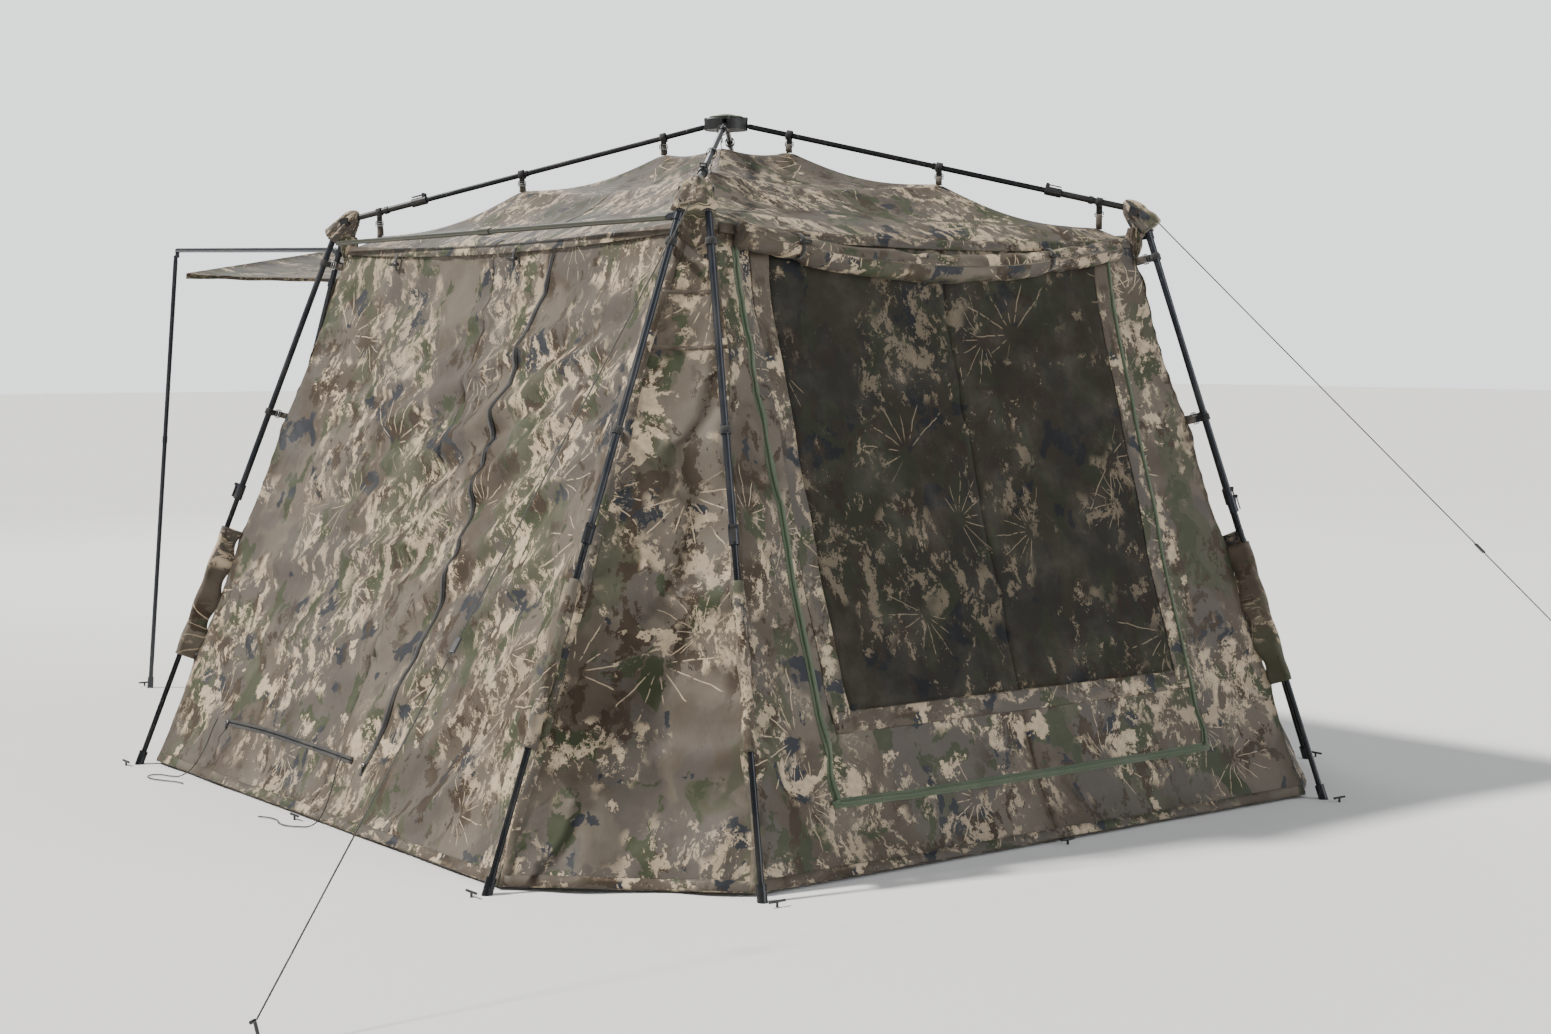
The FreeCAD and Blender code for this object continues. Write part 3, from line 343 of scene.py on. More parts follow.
def weave_group():
    """Make a plain weave: a height and a soft shade that alternate from thread to thread."""
    inputs = [("Vector", "v", None), ("Threads per metre", "f", 700.0)]
    group, tree, entry, leave = new_group("plain weave", inputs, [("Height", "f"), ("Shade", "f")])
    spread = tree.scaled(entry["Vector"], entry["Threads per metre"])
    parts = tree.add("ShaderNodeSeparateXYZ", None, {0: spread})
    warp = tree.sum("ABSOLUTE", tree.sum("SINE", tree.sum("MULTIPLY", parts.outputs[0], math.pi)))
    weft = tree.sum("ABSOLUTE", tree.sum("SINE", tree.sum("MULTIPLY", parts.outputs[1], math.pi)))
    height = tree.sum("MAXIMUM", warp, weft)
    slub = tree.noise(tree.vector("MULTIPLY", entry["Vector"], (1.0, 0.06, 1.0)), 420.0, 2.0, 0.6)
    tree.link(tree.sum("MULTIPLY_ADD", slub, 0.6, height), leave["Height"])
    tree.link(slub, leave["Shade"])
    return group


def crease_group():
    """Make the small creases of handled cloth: a height of crossed, stretched ridges."""
    inputs = [("Vector", "v", None), ("Size", "f", 9.0)]
    group, tree, entry, leave = new_group("cloth creases", inputs, [("Height", "f")])
    total = None
    for turn, stretch, shift in ((0.5, 0.28, 2.0), (-0.7, 0.33, 6.0), (1.3, 0.4, 9.0)):
        turned = tree.add("ShaderNodeMapping", None,
                          {"Vector": entry["Vector"], "Rotation": (0, 0, turn), "Location": (shift, shift, 0)})
        long_way = tree.vector("MULTIPLY", turned.outputs[0], (stretch, 1.0, 1.0))
        wave = tree.add("ShaderNodeTexNoise", None,
                        {"Vector": long_way, "Scale": entry["Size"], "Detail": 2.0, "Distortion": 0.8})
        swell = tree.sum("MULTIPLY_ADD", wave.outputs[0], 5.0, -2.5)
        ridge = tree.sum("SUBTRACT", 1.0, tree.sum("ABSOLUTE", swell))
        ridge = tree.sum("MAXIMUM", ridge, 0.0)
        total = ridge if total is None else tree.sum("ADD", total, ridge)
    tree.link(total, leave["Height"])
    return group


def wear_group():
    """Make wear: scuffs, dust and fine grain from three noises."""
    inputs = [("Vector", "v", None), ("Grain", "f", 900.0)]
    group, tree, entry, leave = new_group("wear and dust", inputs,
                                          [("Scuff", "f"), ("Dust", "f"), ("Grain", "f")])
    scuff = tree.noise(tree.vector("MULTIPLY", entry["Vector"], (1.0, 1.0, 0.35)), 46.0, 6.0, 0.7)
    tree.link(tree.step(scuff, 0.60, 0.72), leave["Scuff"])
    tree.link(tree.step(tree.noise(entry["Vector"], 7.0, 5.0, 0.6, (3, 1, 4)), 0.42, 0.80), leave["Dust"])
    grain = tree.add("ShaderNodeTexNoise", None,
                     {"Vector": entry["Vector"], "Scale": entry["Grain"], "Detail": 2.0})
    tree.link(grain.outputs[0], leave["Grain"])
    return group


class Finishes:
    """Makes each material once and keeps it by name."""

    def __init__(self):
        self.made = {}
        self.groups = {}

    def group(self, name):
        """Return a node group, making it at its first use."""
        makers = {"print": print_group, "weave": weave_group, "crease": crease_group, "wear": wear_group}
        if name not in self.groups:
            self.groups[name] = makers[name]()
        return self.groups[name]

    def start(self, name, **constants):
        """Make an empty material with a principled shader and its constant values."""
        material = bpy.data.materials.new(name)
        material.use_nodes = True
        tree = Tree(material.node_tree)
        shader = material.node_tree.nodes["Principled BSDF"]
        for key, value in constants.items():
            shader.inputs[key.replace("_", " ")].default_value = value
        self.made[name] = material
        return material, tree, shader

    def place(self, tree, name, vector, **values):
        """Add a group node to a material and return its outputs."""
        node = tree.tree.nodes.new("ShaderNodeGroup")
        node.node_tree = self.group(name)
        tree.link(vector, node.inputs["Vector"])
        for key, value in values.items():
            socket = node.inputs[key.replace("_", " ")]
            socket.default_value = (*value, 1.0) if hasattr(value, "__len__") else value
        return node.outputs

    def bump(self, tree, shader, layers):
        """Chain bumps of (height, strength, distance) into a shader's normal."""
        normal = None
        for height, strength, distance in layers:
            node = tree.add("ShaderNodeBump", None,
                            {"Height": height, "Strength": strength, "Distance": distance})
            if normal is not None:
                tree.link(normal, node.inputs["Normal"])
            normal = node.outputs[0]
        tree.link(normal, shader.inputs["Normal"])

    def cloth(self, name, colours, creases=0.0022, mesh=False):
        """Return printed cloth: the print, the weave, soft creases and a satin coat."""
        if name in self.made:
            return self.made[name]
        material, tree, shader = self.start(name, Sheen_Weight=0.03, Sheen_Roughness=0.5,
                                            Specular_IOR_Level=0.22, Metallic=0.0)
        vector = tree.add("ShaderNodeUVMap").outputs[0]
        ground = tuple(colours.mesh_ground) if mesh else tuple(colours.ground)
        darker = {"green": 0.40, "brown": 0.45, "slate": 0.32, "cream": 0.46} if mesh else {}
        green, brown, slate, cream = (
            tuple(share * darker.get(tint, 1.0) for share in getattr(colours, tint))
            for tint in ("green", "brown", "slate", "cream"))
        printed = self.place(tree, "print", vector, Ground=ground, Green=green, Brown=brown,
                             Slate=slate, Cream=cream, Cream_share=0.9 if mesh else 1.0,
                             Flake_cut=0.055 if mesh else 0.0)
        weave = self.place(tree, "weave", vector, Threads_per_metre=420.0 if mesh else 800.0)
        crease = self.place(tree, "crease", vector, Size=7.0)
        wear = self.place(tree, "wear", vector, Grain=500.0)
        shade = tree.sum("MULTIPLY_ADD", weave["Shade"], 0.24, 0.88)
        colour = tree.mix(1.0, printed["Color"], tree.add("ShaderNodeCombineXYZ", None,
                          {0: shade, 1: shade, 2: shade}).outputs[0], "MULTIPLY")
        dusty = tree.mix(tree.sum("MULTIPLY", wear["Dust"], 0.10), colour, (0.42, 0.38, 0.32))
        tree.link(dusty, shader.inputs["Base Color"])
        rough = tree.sum("MULTIPLY_ADD", wear["Dust"], 0.12, 0.72 if mesh else 0.54)
        tree.link(rough, shader.inputs["Roughness"])
        self.bump(tree, shader, [(crease["Height"], 0.55, creases), (weave["Height"], 0.30, 0.0004)])
        return material

    def webbing(self, name, colour, ribs=520.0):
        """Return woven tape: ribs across it, a little dust and soft fibres."""
        if name in self.made:
            return self.made[name]
        material, tree, shader = self.start(name, Sheen_Weight=0.25, Sheen_Roughness=0.5,
                                            Specular_IOR_Level=0.3)
        vector = tree.add("ShaderNodeTexCoord").outputs["Object"]
        weave = self.place(tree, "weave", vector, Threads_per_metre=ribs)
        wear = self.place(tree, "wear", vector, Grain=1200.0)
        light = tuple(min(1.0, share * 1.9 + 0.02) for share in colour)
        worn = tree.mix(tree.sum("MULTIPLY", weave["Shade"], 0.5), colour, light)
        tree.link(tree.mix(tree.sum("MULTIPLY", wear["Dust"], 0.16), worn, (0.35, 0.32, 0.27)),
                            shader.inputs["Base Color"])
        tree.link(tree.sum("MULTIPLY_ADD", wear["Grain"], 0.2, 0.62), shader.inputs["Roughness"])
        self.bump(tree, shader, [(weave["Height"], 0.5, 0.0006)])
        return material

    def hard(self, name, colour, metallic, roughness, worn, wear_share=0.5, grain=0.0002):
        """Return a coated, moulded or bare surface with scuffs, dust and grain."""
        if name in self.made:
            return self.made[name]
        material, tree, shader = self.start(name, Metallic=metallic, Specular_IOR_Level=0.5)
        vector = tree.add("ShaderNodeTexCoord").outputs["Object"]
        wear = self.place(tree, "wear", vector, Grain=1400.0)
        dark, bright = (tuple(share * change for share in colour) for change in (0.8, 1.2))
        mottled = tree.mix(wear["Grain"], dark, bright)
        scuffed = tree.mix(tree.sum("MULTIPLY", wear["Scuff"], wear_share), mottled, worn)
        tree.link(tree.mix(tree.sum("MULTIPLY", wear["Dust"], 0.12), scuffed, (0.30, 0.28, 0.25)),
                            shader.inputs["Base Color"])
        rough = tree.sum("MULTIPLY_ADD", wear["Scuff"], 0.18, roughness)
        tree.link(tree.sum("MULTIPLY_ADD", wear["Dust"], 0.12, rough), shader.inputs["Roughness"])
        self.bump(tree, shader, [(wear["Grain"], 0.12, grain)])
        return material


FINISHES = Finishes()


def cloth_finish():
    """Return the printed polyester."""
    return FINISHES.cloth("printed polyester", bpy.context.scene.blind_colours)


def lining_finish():
    """Return the darker print of the window mesh."""
    return FINISHES.cloth("window mesh print", bpy.context.scene.blind_colours, 0.0012, True)


def woven_finish(name):
    """Return a tape, webbing, cord or thread by name: its colour and its ribs for each metre."""
    colours = bpy.context.scene.blind_colours
    values = {"olive tape": (tuple(colours.trim),), "black tape": (tuple(colours.black),),
              "brown webbing": ((0.060, 0.048, 0.036),), "olive thread": ((0.085, 0.078, 0.055), 2400.0),
              "olive cord": ((0.034, 0.032, 0.024), 900.0)}
    return FINISHES.webbing(name, *values[name])


def hard_finish(name):
    """Return a hard finish by name: its colour, metal, roughness, worn colour, share of wear and grain."""
    colours = bpy.context.scene.blind_colours
    values = {"moulded black nylon": (tuple(colours.black), 0.0, 0.42, (0.08, 0.08, 0.08)),
              "slate powder coat": (tuple(colours.tube), 0.35, 0.30, (0.16, 0.17, 0.18), 0.35),
              "dark anodised tube": ((0.026, 0.028, 0.032), 0.75, 0.26, (0.24, 0.24, 0.25), 0.4, 0.0001),
              "bright steel": (tuple(colours.steel), 1.0, 0.26, (0.25, 0.24, 0.22), 0.4, 0.0001),
              "coated peg steel": ((0.045, 0.045, 0.048), 0.8, 0.36, (0.35, 0.33, 0.30), 0.6),
              "olive bar coat": ((0.050, 0.052, 0.036), 0.3, 0.38, (0.16, 0.16, 0.13), 0.4),
              "pale green trim": ((0.20, 0.27, 0.16), 0.0, 0.45, (0.3, 0.33, 0.26), 0.3)}
    return FINISHES.hard(name, *values[name])


# ---------------------------------------------------------------- meshes

def new_object(name, data):
    """Make an object in the scene from its mesh, camera or light."""
    thing = bpy.data.objects.new(name, data)
    bpy.context.scene.collection.objects.link(thing)
    return thing


def mesh_object(name, points, faces, material, uvs=None, smooth=True):
    """Make an object from points and faces, with an optional map of one pair for each point."""
    mesh = bpy.data.meshes.new(name)
    mesh.from_pydata([tuple(point) for point in points], [], [tuple(face) for face in faces])
    if uvs is not None:
        layer = mesh.uv_layers.new(name="UVMap")
        corners = np.zeros(len(mesh.loops), np.int32)
        mesh.loops.foreach_get("vertex_index", corners)
        layer.data.foreach_set("uv", np.asarray(uvs, np.float32)[corners].ravel())
    mesh.materials.append(material)
    mesh.polygons.foreach_set("use_smooth", [smooth] * len(mesh.polygons))
    mesh.update()
    return new_object(name, mesh)


def bake(thing):
    """Turn an object's modifiers into its plain mesh."""
    evaluated = thing.evaluated_get(bpy.context.evaluated_depsgraph_get())
    mesh = bpy.data.meshes.new_from_object(evaluated)
    thing.modifiers.clear()
    thing.data = mesh
    return thing


def outward(thing):
    """Merge the doubles of a closed shape and turn its faces outwards."""
    work = bmesh.new()
    work.from_mesh(thing.data)
    bmesh.ops.remove_doubles(work, verts=work.verts, dist=0.00002)
    bmesh.ops.recalc_face_normals(work, faces=work.faces)
    work.to_mesh(thing.data)
    work.free()
    return thing


def thicken(thing, thickness):
    """Give a sheet its thickness, half on each side, and bake it."""
    solid = thing.modifiers.new("thickness", "SOLIDIFY")
    solid.thickness = thickness
    solid.offset = 0.0
    return bake(thing)


def grid_faces(rows, columns, closed=False):
    """Return the faces of a grid of points, stored row by row."""
    faces = []
    last = columns if closed else columns - 1
    for row in range(rows - 1):
        for column in range(last):
            right = (column + 1) % columns
            faces.append((row * columns + column, row * columns + right,
                          (row + 1) * columns + right, (row + 1) * columns + column))
    return faces


def smooth_path(points, spacing):
    """Return evenly spaced points on a smooth curve through the given points."""
    points = [Vector(point) for point in points]
    ends = [points[0] * 2 - points[1]] + points + [points[-1] * 2 - points[-2]]
    fine = []
    for index in range(len(points) - 1):
        before, start, end, after = ends[index:index + 4]
        steps = max(4, int((end - start).length / spacing * 2))
        for step in range(steps):
            share = step / steps
            fine.append(0.5 * (start * 2 + (end - before) * share
                               + (before * 2 - start * 5 + end * 4 - after) * share ** 2
                               + (start * 3 - before - end * 3 + after) * share ** 3))
    fine.append(points[-1])
    lengths = np.concatenate([[0], np.cumsum([(b - a).length for a, b in zip(fine, fine[1:])])])
    count = max(2, int(round(lengths[-1] / spacing)) + 1)
    places = np.linspace(0, lengths[-1], count)
    array = np.array([tuple(point) for point in fine])
    return [Vector([np.interp(place, lengths, array[:, axis]) for axis in range(3)]) for place in places]


def path_ways(points):
    """Return the direction of a path at each of its points."""
    ways = []
    for index in range(len(points)):
        before = points[max(0, index - 1)]
        after = points[min(len(points) - 1, index + 1)]
        ways.append((after - before).normalized())
    return ways


def loft(name, rings, material, uvs=None):
    """Make a closed skin through rings of points, with a cap at each end."""
    count = len(rings[0])
    points = [point for ring in rings for point in ring]
    faces = grid_faces(len(rings), count, True)
    faces.append(tuple(range(count - 1, -1, -1)))
    faces.append(tuple(range(len(points) - count, len(points))))
    return outward(mesh_object(name, points, faces, material, uvs))


def pipe(name, points, radius, material, sides=8, normals=None):
    """Make a round cord or tube along points; the radius may be one number or one for each point."""
    ways = path_ways(points)
    radii = radius if hasattr(radius, "__len__") else [radius] * len(points)
    side = ways[0].orthogonal().normalized()
    rings = []
    for index, (point, way) in enumerate(zip(points, ways)):
        side = away_from(side if normals is None else normals[index], way)
        other = way.cross(side)
        ring = []
        for step in range(sides):
            angle = 2 * math.pi * step / sides
            ring.append(point + (side * math.cos(angle) + other * math.sin(angle)) * radii[index])
        rings.append(ring)
    return loft(name, rings, material)


def ribbon(name, points, normals, width, thickness, material, crown=0.0):
    """Make a flat strip along points: its width lies across the normals, with a slightly raised middle."""
    rings = []
    uvs = []
    travelled = 0.0
    for index, (point, way, normal) in enumerate(zip(points, path_ways(points), normals)):
        if index:
            travelled += (point - points[index - 1]).length
        up = away_from(normal, way)
        side = way.cross(up)
        ring = []
        for across, height in ((-0.5, 0.0), (-0.46, 1.0), (0.0, 1.0 + crown), (0.46, 1.0), (0.5, 0.0)):
            ring.append(point + side * (across * width) + up * (height * thickness))
            uvs.append((across * width, travelled))
        rings.append(ring)
    return loft(name, rings, material, uvs)


# ---------------------------------------------------------------- repeated pieces along paths

def path_tree():
    """Make the tree that sets a small piece along a path: it faces the path's stored normal."""
    tree = bpy.data.node_groups.new("pieces on a path", "GeometryNodeTree")
    sockets = [("Path", "NodeSocketGeometry", None), ("Spacing", "NodeSocketFloat", 0.01),
               ("Length", "NodeSocketFloat", 0.005), ("Width", "NodeSocketFloat", 0.001),
               ("Height", "NodeSocketFloat", 0.0006), ("Finish", "NodeSocketMaterial", None)]
    for label, kind, default in sockets:
        socket = tree.interface.new_socket(label, in_out="INPUT", socket_type=kind)
        if default is not None:
            socket.default_value = default
    tree.interface.new_socket("Geometry", in_out="OUTPUT", socket_type="NodeSocketGeometry")
    nodes, links = tree.nodes, tree.links
    entry = nodes.new("NodeGroupInput").outputs
    leave = nodes.new("NodeGroupOutput").inputs
    curve = nodes.new("GeometryNodeMeshToCurve")
    links.new(entry["Path"], curve.inputs["Mesh"])
    even = nodes.new("GeometryNodeResampleCurve")
    even.mode = "LENGTH"
    links.new(curve.outputs[0], even.inputs["Curve"])
    links.new(entry["Spacing"], even.inputs["Length"])
    piece = nodes.new("GeometryNodeMeshIcoSphere")
    piece.inputs["Subdivisions"].default_value = 1
    piece.inputs["Radius"].default_value = 0.5
    size = nodes.new("ShaderNodeCombineXYZ")
    for index, label in enumerate(("Length", "Width", "Height")):
        links.new(entry[label], size.inputs[index])
    along = nodes.new("FunctionNodeAlignRotationToVector")
    along.axis = "X"
    links.new(nodes.new("GeometryNodeInputTangent").outputs[0], along.inputs["Vector"])
    facing = nodes.new("GeometryNodeInputNamedAttribute")
    facing.data_type = "FLOAT_VECTOR"
    facing.inputs["Name"].default_value = "facing"
    upright = nodes.new("FunctionNodeAlignRotationToVector")
    upright.axis = "Z"
    upright.pivot_axis = "X"
    links.new(along.outputs[0], upright.inputs["Rotation"])
    links.new(facing.outputs[0], upright.inputs["Vector"])
    place = nodes.new("GeometryNodeInstanceOnPoints")
    links.new(even.outputs[0], place.inputs["Points"])
    links.new(piece.outputs[0], place.inputs["Instance"])
    links.new(upright.outputs[0], place.inputs["Rotation"])
    links.new(size.outputs[0], place.inputs["Scale"])
    real = nodes.new("GeometryNodeRealizeInstances")
    links.new(place.outputs[0], real.inputs[0])
    paint = nodes.new("GeometryNodeSetMaterial")
    links.new(real.outputs[0], paint.inputs["Geometry"])
    links.new(entry["Finish"], paint.inputs["Material"])
    links.new(paint.outputs[0], leave["Geometry"])
    return tree


def pieces_on_paths(name, paths, spacing, size, material):
    """Set small pieces along paths of (points, normals) with geometry nodes and return them as one mesh."""
    points, edges, normals = [], [], []
    for path, facing in paths:
        start = len(points)
        points += [tuple(point) for point in path]
        normals += [tuple(normal) for normal in facing]
        edges += [(start + index, start + index + 1) for index in range(len(path) - 1)]
    mesh = bpy.data.meshes.new(name)
    mesh.from_pydata(points, edges, [])
    mesh.attributes.new("facing", "FLOAT_VECTOR", "POINT").data.foreach_set("vector", np.ravel(normals))
    thing = new_object(name, mesh)
    tree = bpy.data.node_groups.get("pieces on a path") or path_tree()
    modifier = thing.modifiers.new("pieces", "NODES")
    modifier.node_group = tree
    values = {"Spacing": spacing, "Length": size[0], "Width": size[1], "Height": size[2], "Finish": material}
    for item in tree.interface.items_tree:
        if item.in_out == "INPUT" and item.name in values:
            modifier[item.identifier] = values[item.name]
    return bake(thing)


# ---------------------------------------------------------------- what moves with what

def shown_with(thing, body, squash=None):
    """Let a finished piece move with a body; a piece given a squash gets its own copy of its mesh."""
    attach(thing, body)
    if squash is not None:
        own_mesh(thing)
    return thing


def wall_squash(corner, kind):
    """Return the direction from a leg across its half wall, the leg's middle and a distance."""
    leg = LEGS[corner, kind]
    sign_x, sign_y = CORNERS[corner]
    across = Vector((-sign_x, 0, 0)) if kind == "end" else Vector((0, -sign_y, 0))
    return away_from(across, leg.way), leg.at(0.5), 0.055


def corner_squash(corner):
    """Return the direction from a side leg across its corner panel, the leg's middle and a distance."""
    leg = LEGS[corner, "side"]
    across = LEGS[corner, "end"].at(0.8) - leg.at(0.8)
    return away_from(across, leg.way), leg.at(0.5), 0.06


def roof_squash(corner, kind):
    """Return the direction from an arm across half a roof sector, the arm's start and a distance."""
    arm = ARMS[corner]
    sign_x, sign_y = CORNERS[corner]
    middle = Vector((0, sign_y * SKIN_HALF_DEPTH, SKIN_LOW.z)) if kind == "end" else \
        Vector((sign_x * SKIN_HIGH.x, 0, SKIN_LOW.z))
    middle.y += HUB.y
    return away_from(middle - arm.start, arm.way), arm.start, 0.06


def split_by(thing, chooser, cloth=False):
    """Split a mesh into one object for each name that the chooser gives the middle of a face."""
    mesh = thing.data
    names = {}
    for face in mesh.polygons:
        names.setdefault(chooser(face.center), []).append(face.index)
    made = {}
    for key, wanted in names.items():
        wanted = set(wanted)
        work = bmesh.new()
        work.from_mesh(mesh)
        work.faces.ensure_lookup_table()
        gone = [face for face in work.faces if face.index not in wanted]
        bmesh.ops.delete(work, geom=gone, context="FACES")
        part = mesh.copy()
        part.name = f"{thing.name}_{key}"
        work.to_mesh(part)
        work.free()
        half = new_object(f"{thing.name}_{key}", part)
        made[key] = thicken(half, bpy.context.scene.blind_sizes.cloth) if cloth else half
    bpy.data.objects.remove(thing)
    return made


def halves_of(thing, side, cloth=False):
    """Split a piece of one side at its middle and return a half for each corner."""
    if SIDES[side][2] == "end":
        halves = split_by(thing, lambda middle: "left" if middle.x < 0 else "right", cloth)
        return {f"{side}_{key}": half for key, half in halves.items()}
    halves = split_by(thing, lambda middle: "front" if middle.y < HUB.y else "rear", cloth)
    return {f"{key}_{side}": half for key, half in halves.items()}


def attach_wall(thing, side, cloth=False):
    """Split a piece of a wall at its middle and let each half move with its leg."""
    kind = SIDES[side][2]
    halves = halves_of(thing, side, cloth)
    for corner, half in halves.items():
        shown_with(half, LEGS[corner, kind].body, wall_squash(corner, kind))
    return list(halves.values())


# ---------------------------------------------------------------- surfaces of the skin

class Surface:
    """A sheet of cloth as rows of points, with the flat place of each point kept beside it."""

    def __init__(self, rows):
        """Take rows of (flat places across, flat place along, points)."""
        self.across = np.array([across for across, _, _ in rows], float)
        self.along = np.array([[along] * len(across) for across, along, _ in rows], float)
        self.points = np.array([[tuple(point) for point in line] for _, _, line in rows], float)

    def row_at(self, along):
        """Return the flat places of the row nearest to a place along."""
        return self.across[int(np.argmin(np.abs(self.along[:, 0] - along)))]

    def at(self, across, along):
        """Return the point of the cloth at a flat place."""
        rows = self.along[:, 0]
        order = 1 if rows[-1] > rows[0] else -1
        row = float(np.interp(along * order, rows * order, np.arange(len(rows))))
        low = min(int(row), len(rows) - 2)
        share = row - low
        line = self.across[low] * (1 - share) + self.across[low + 1] * share
        column = float(np.interp(across, line, np.arange(len(line))))
        left = min(int(column), len(line) - 2)
        part = column - left
        first = self.points[low, left] * (1 - part) + self.points[low, left + 1] * part
        second = self.points[low + 1, left] * (1 - part) + self.points[low + 1, left + 1] * part
        return Vector(first * (1 - share) + second * share)

    def normal(self, across, along, outside):
        """Return the cloth's normal at a flat place, on the side of an outward direction."""
        step = 0.02
        a = self.at(across + step, along) - self.at(across - step, along)
        b = self.at(across, along + step) - self.at(across, along - step)
        if a.length < 1e-6 or b.length < 1e-6:
            return Vector(outside).normalized()
        normal = a.cross(b).normalized()
        return normal if normal.dot(outside) > 0 else -normal

    def path(self, places, outside, lift=0.001, spacing=0.02):
        """Return points and normals along flat places, smoothed and laid on the cloth."""
        flat = smooth_path([(place[0], place[1], 0) for place in places], spacing)
        normals = [self.normal(place.x, place.y, outside) for place in flat]
        points = [self.at(place.x, place.y) + normal * lift for place, normal in zip(flat, normals)]
        return points, normals

    def uvs(self):
        """Return the flat places as a map in metres."""
        return np.stack([self.across.ravel(), self.along.ravel()], 1)


def roof_corner(corner):
    """Return the corner of the roof, where two eaves meet."""
    sign_x, sign_y = CORNERS[corner]
    return Vector((sign_x * SKIN_HIGH.x, HUB.y + sign_y * SKIN_HALF_DEPTH, SKIN_LOW.z))


def seam_point(corner, kind, height):
    """Return the point of the seam beside a leg at a height, drawn in a little between the leg's ties."""
    sizes = bpy.context.scene.blind_sizes
    sign_x, sign_y = CORNERS[corner]
    half = sizes.corner_width / 2
    top = roof_corner(corner)
    if kind == "side":
        top += Vector((sign_x * half * 0.5, -sign_y * half, 0))
        hem = LEGS[corner, "side"].at(1.0) + Vector((-sign_x * sizes.leg_gap, -sign_y * sizes.leg_gap / 2, 0))
        inwards = Vector((0, -sign_y, 0))
    else:
        top += Vector((-sign_x * half, sign_y * half * 0.5, 0))
        hem = LEGS[corner, "end"].at(1.0) + Vector((-sign_x * sizes.leg_gap / 2, -sign_y * sizes.leg_gap, 0))
        inwards = Vector((-sign_x, 0, 0))
    hem.z = sizes.hem_height
    share = (top.z - height) / (top.z - hem.z)
    ties = (0.0, 0.07, 0.35, 0.57, 0.80, 1.0)
    drawn = 0.0
    for first, second in zip(ties, ties[1:]):
        if first <= share <= second:
            drawn = math.sin(math.pi * (share - first) / (second - first)) * (second - first) * 0.085
    return top.lerp(hem, share) + inwards * drawn


def eave_point(side, share):
    """Return the point of an eave from its first corner to its second, hanging a little between them."""
    sizes = bpy.context.scene.blind_sizes
    first, second, kind = SIDES[side]
    start = seam_point(first, kind, SKIN_LOW.z)
    end = seam_point(second, kind, SKIN_LOW.z)
    sag = 4 * share * (1 - share)
    point = start.lerp(end, share)
    outside = Vector((point.x, point.y - HUB.y, 0))
    outside = Vector((0, math.copysign(1, outside.y), 0)) if kind == "end" else \
        Vector((math.copysign(1, outside.x), 0, 0))
    return point - UP * (sizes.eave_sag * sag) + outside * (0.012 * sag)


def fold_height(folds, across, along):
    """Return the height of long folds at a flat place; a fold is two ends, a width and a height."""
    total = 0.0
    for x0, y0, x1, y1, width, height in folds:
        dx, dy = x1 - x0, y1 - y0
        length = math.hypot(dx, dy)
        share = ((across - x0) * dx + (along - y0) * dy) / length ** 2
        side = ((across - x0) * dy - (along - y0) * dx) / length
        bent = side + 0.04 * math.sin(share * 3.0 + x0 * 7.0)
        ends = max(0.0, min(1.0, (share + 0.15) / 0.45)) * max(0.0, min(1.0, (1.15 - share) / 0.45))
        spread = width * (0.8 + 0.7 * share)
        total += height * 0.44 * ends * math.exp(-(bent / spread) ** 2)
        total -= height * 0.36 * ends * math.exp(-((bent - spread * 1.5) / spread) ** 2)
    return total


def ripple(place, size, seed):
    """Return smooth noise from -1 to 1 for a place."""
    return noise.noise(Vector((place[0] / size, place[1] / size, seed * 3.7)))


def relax(thing, held, frames, slack, cap, gravity=0.4):
    """Let cloth settle with some points held, and let no point move further than the cap."""
    before = np.zeros(len(thing.data.vertices) * 3)
    thing.data.vertices.foreach_get("co", before)
    before = before.reshape(-1, 3)
    group = thing.vertex_groups.new(name="held")
    for index, weight in enumerate(held):
        if weight > 0:
            group.add([index], float(weight), "REPLACE")
    cloth = thing.modifiers.new("settle", "CLOTH")
    cloth.settings.quality = 5
    cloth.settings.mass = 0.12
    cloth.settings.tension_stiffness = 18
    cloth.settings.compression_stiffness = 12
    cloth.settings.bending_stiffness = 0.25
    cloth.settings.shrink_min = -slack
    cloth.settings.vertex_group_mass = "held"
    cloth.settings.effector_weights.gravity = gravity
    cloth.point_cache.frame_start = 1
    cloth.point_cache.frame_end = frames
    scene = bpy.context.scene
    for number in range(1, frames + 1):
        scene.frame_set(number)
    bake(thing)
    scene.frame_set(1)
    thing.vertex_groups.clear()
    after = np.zeros(len(thing.data.vertices) * 3)
    thing.data.vertices.foreach_get("co", after)
    moved = after.reshape(-1, 3) - before
    size = np.linalg.norm(moved, axis=1, keepdims=True)
    limit = np.minimum(1.0, cap / np.maximum(size, 1e-9))
    thing.data.vertices.foreach_set("co", (before + moved * limit).ravel())
    thing.data.update()
    return thing


def settle_surface(name, surface, held, frames, slack, cap):
    """Relax a surface's points as cloth and put them back into it."""
    rows, columns = surface.across.shape
    thing = mesh_object(name, surface.points.reshape(-1, 3), grid_faces(rows, columns), cloth_finish())
    relax(thing, np.asarray(held, float).ravel(), frames, slack, cap)
    settled = np.zeros(rows * columns * 3)
    thing.data.vertices.foreach_get("co", settled)
    surface.points = settled.reshape(rows, columns, 3)
    bpy.data.objects.remove(thing)
    return surface


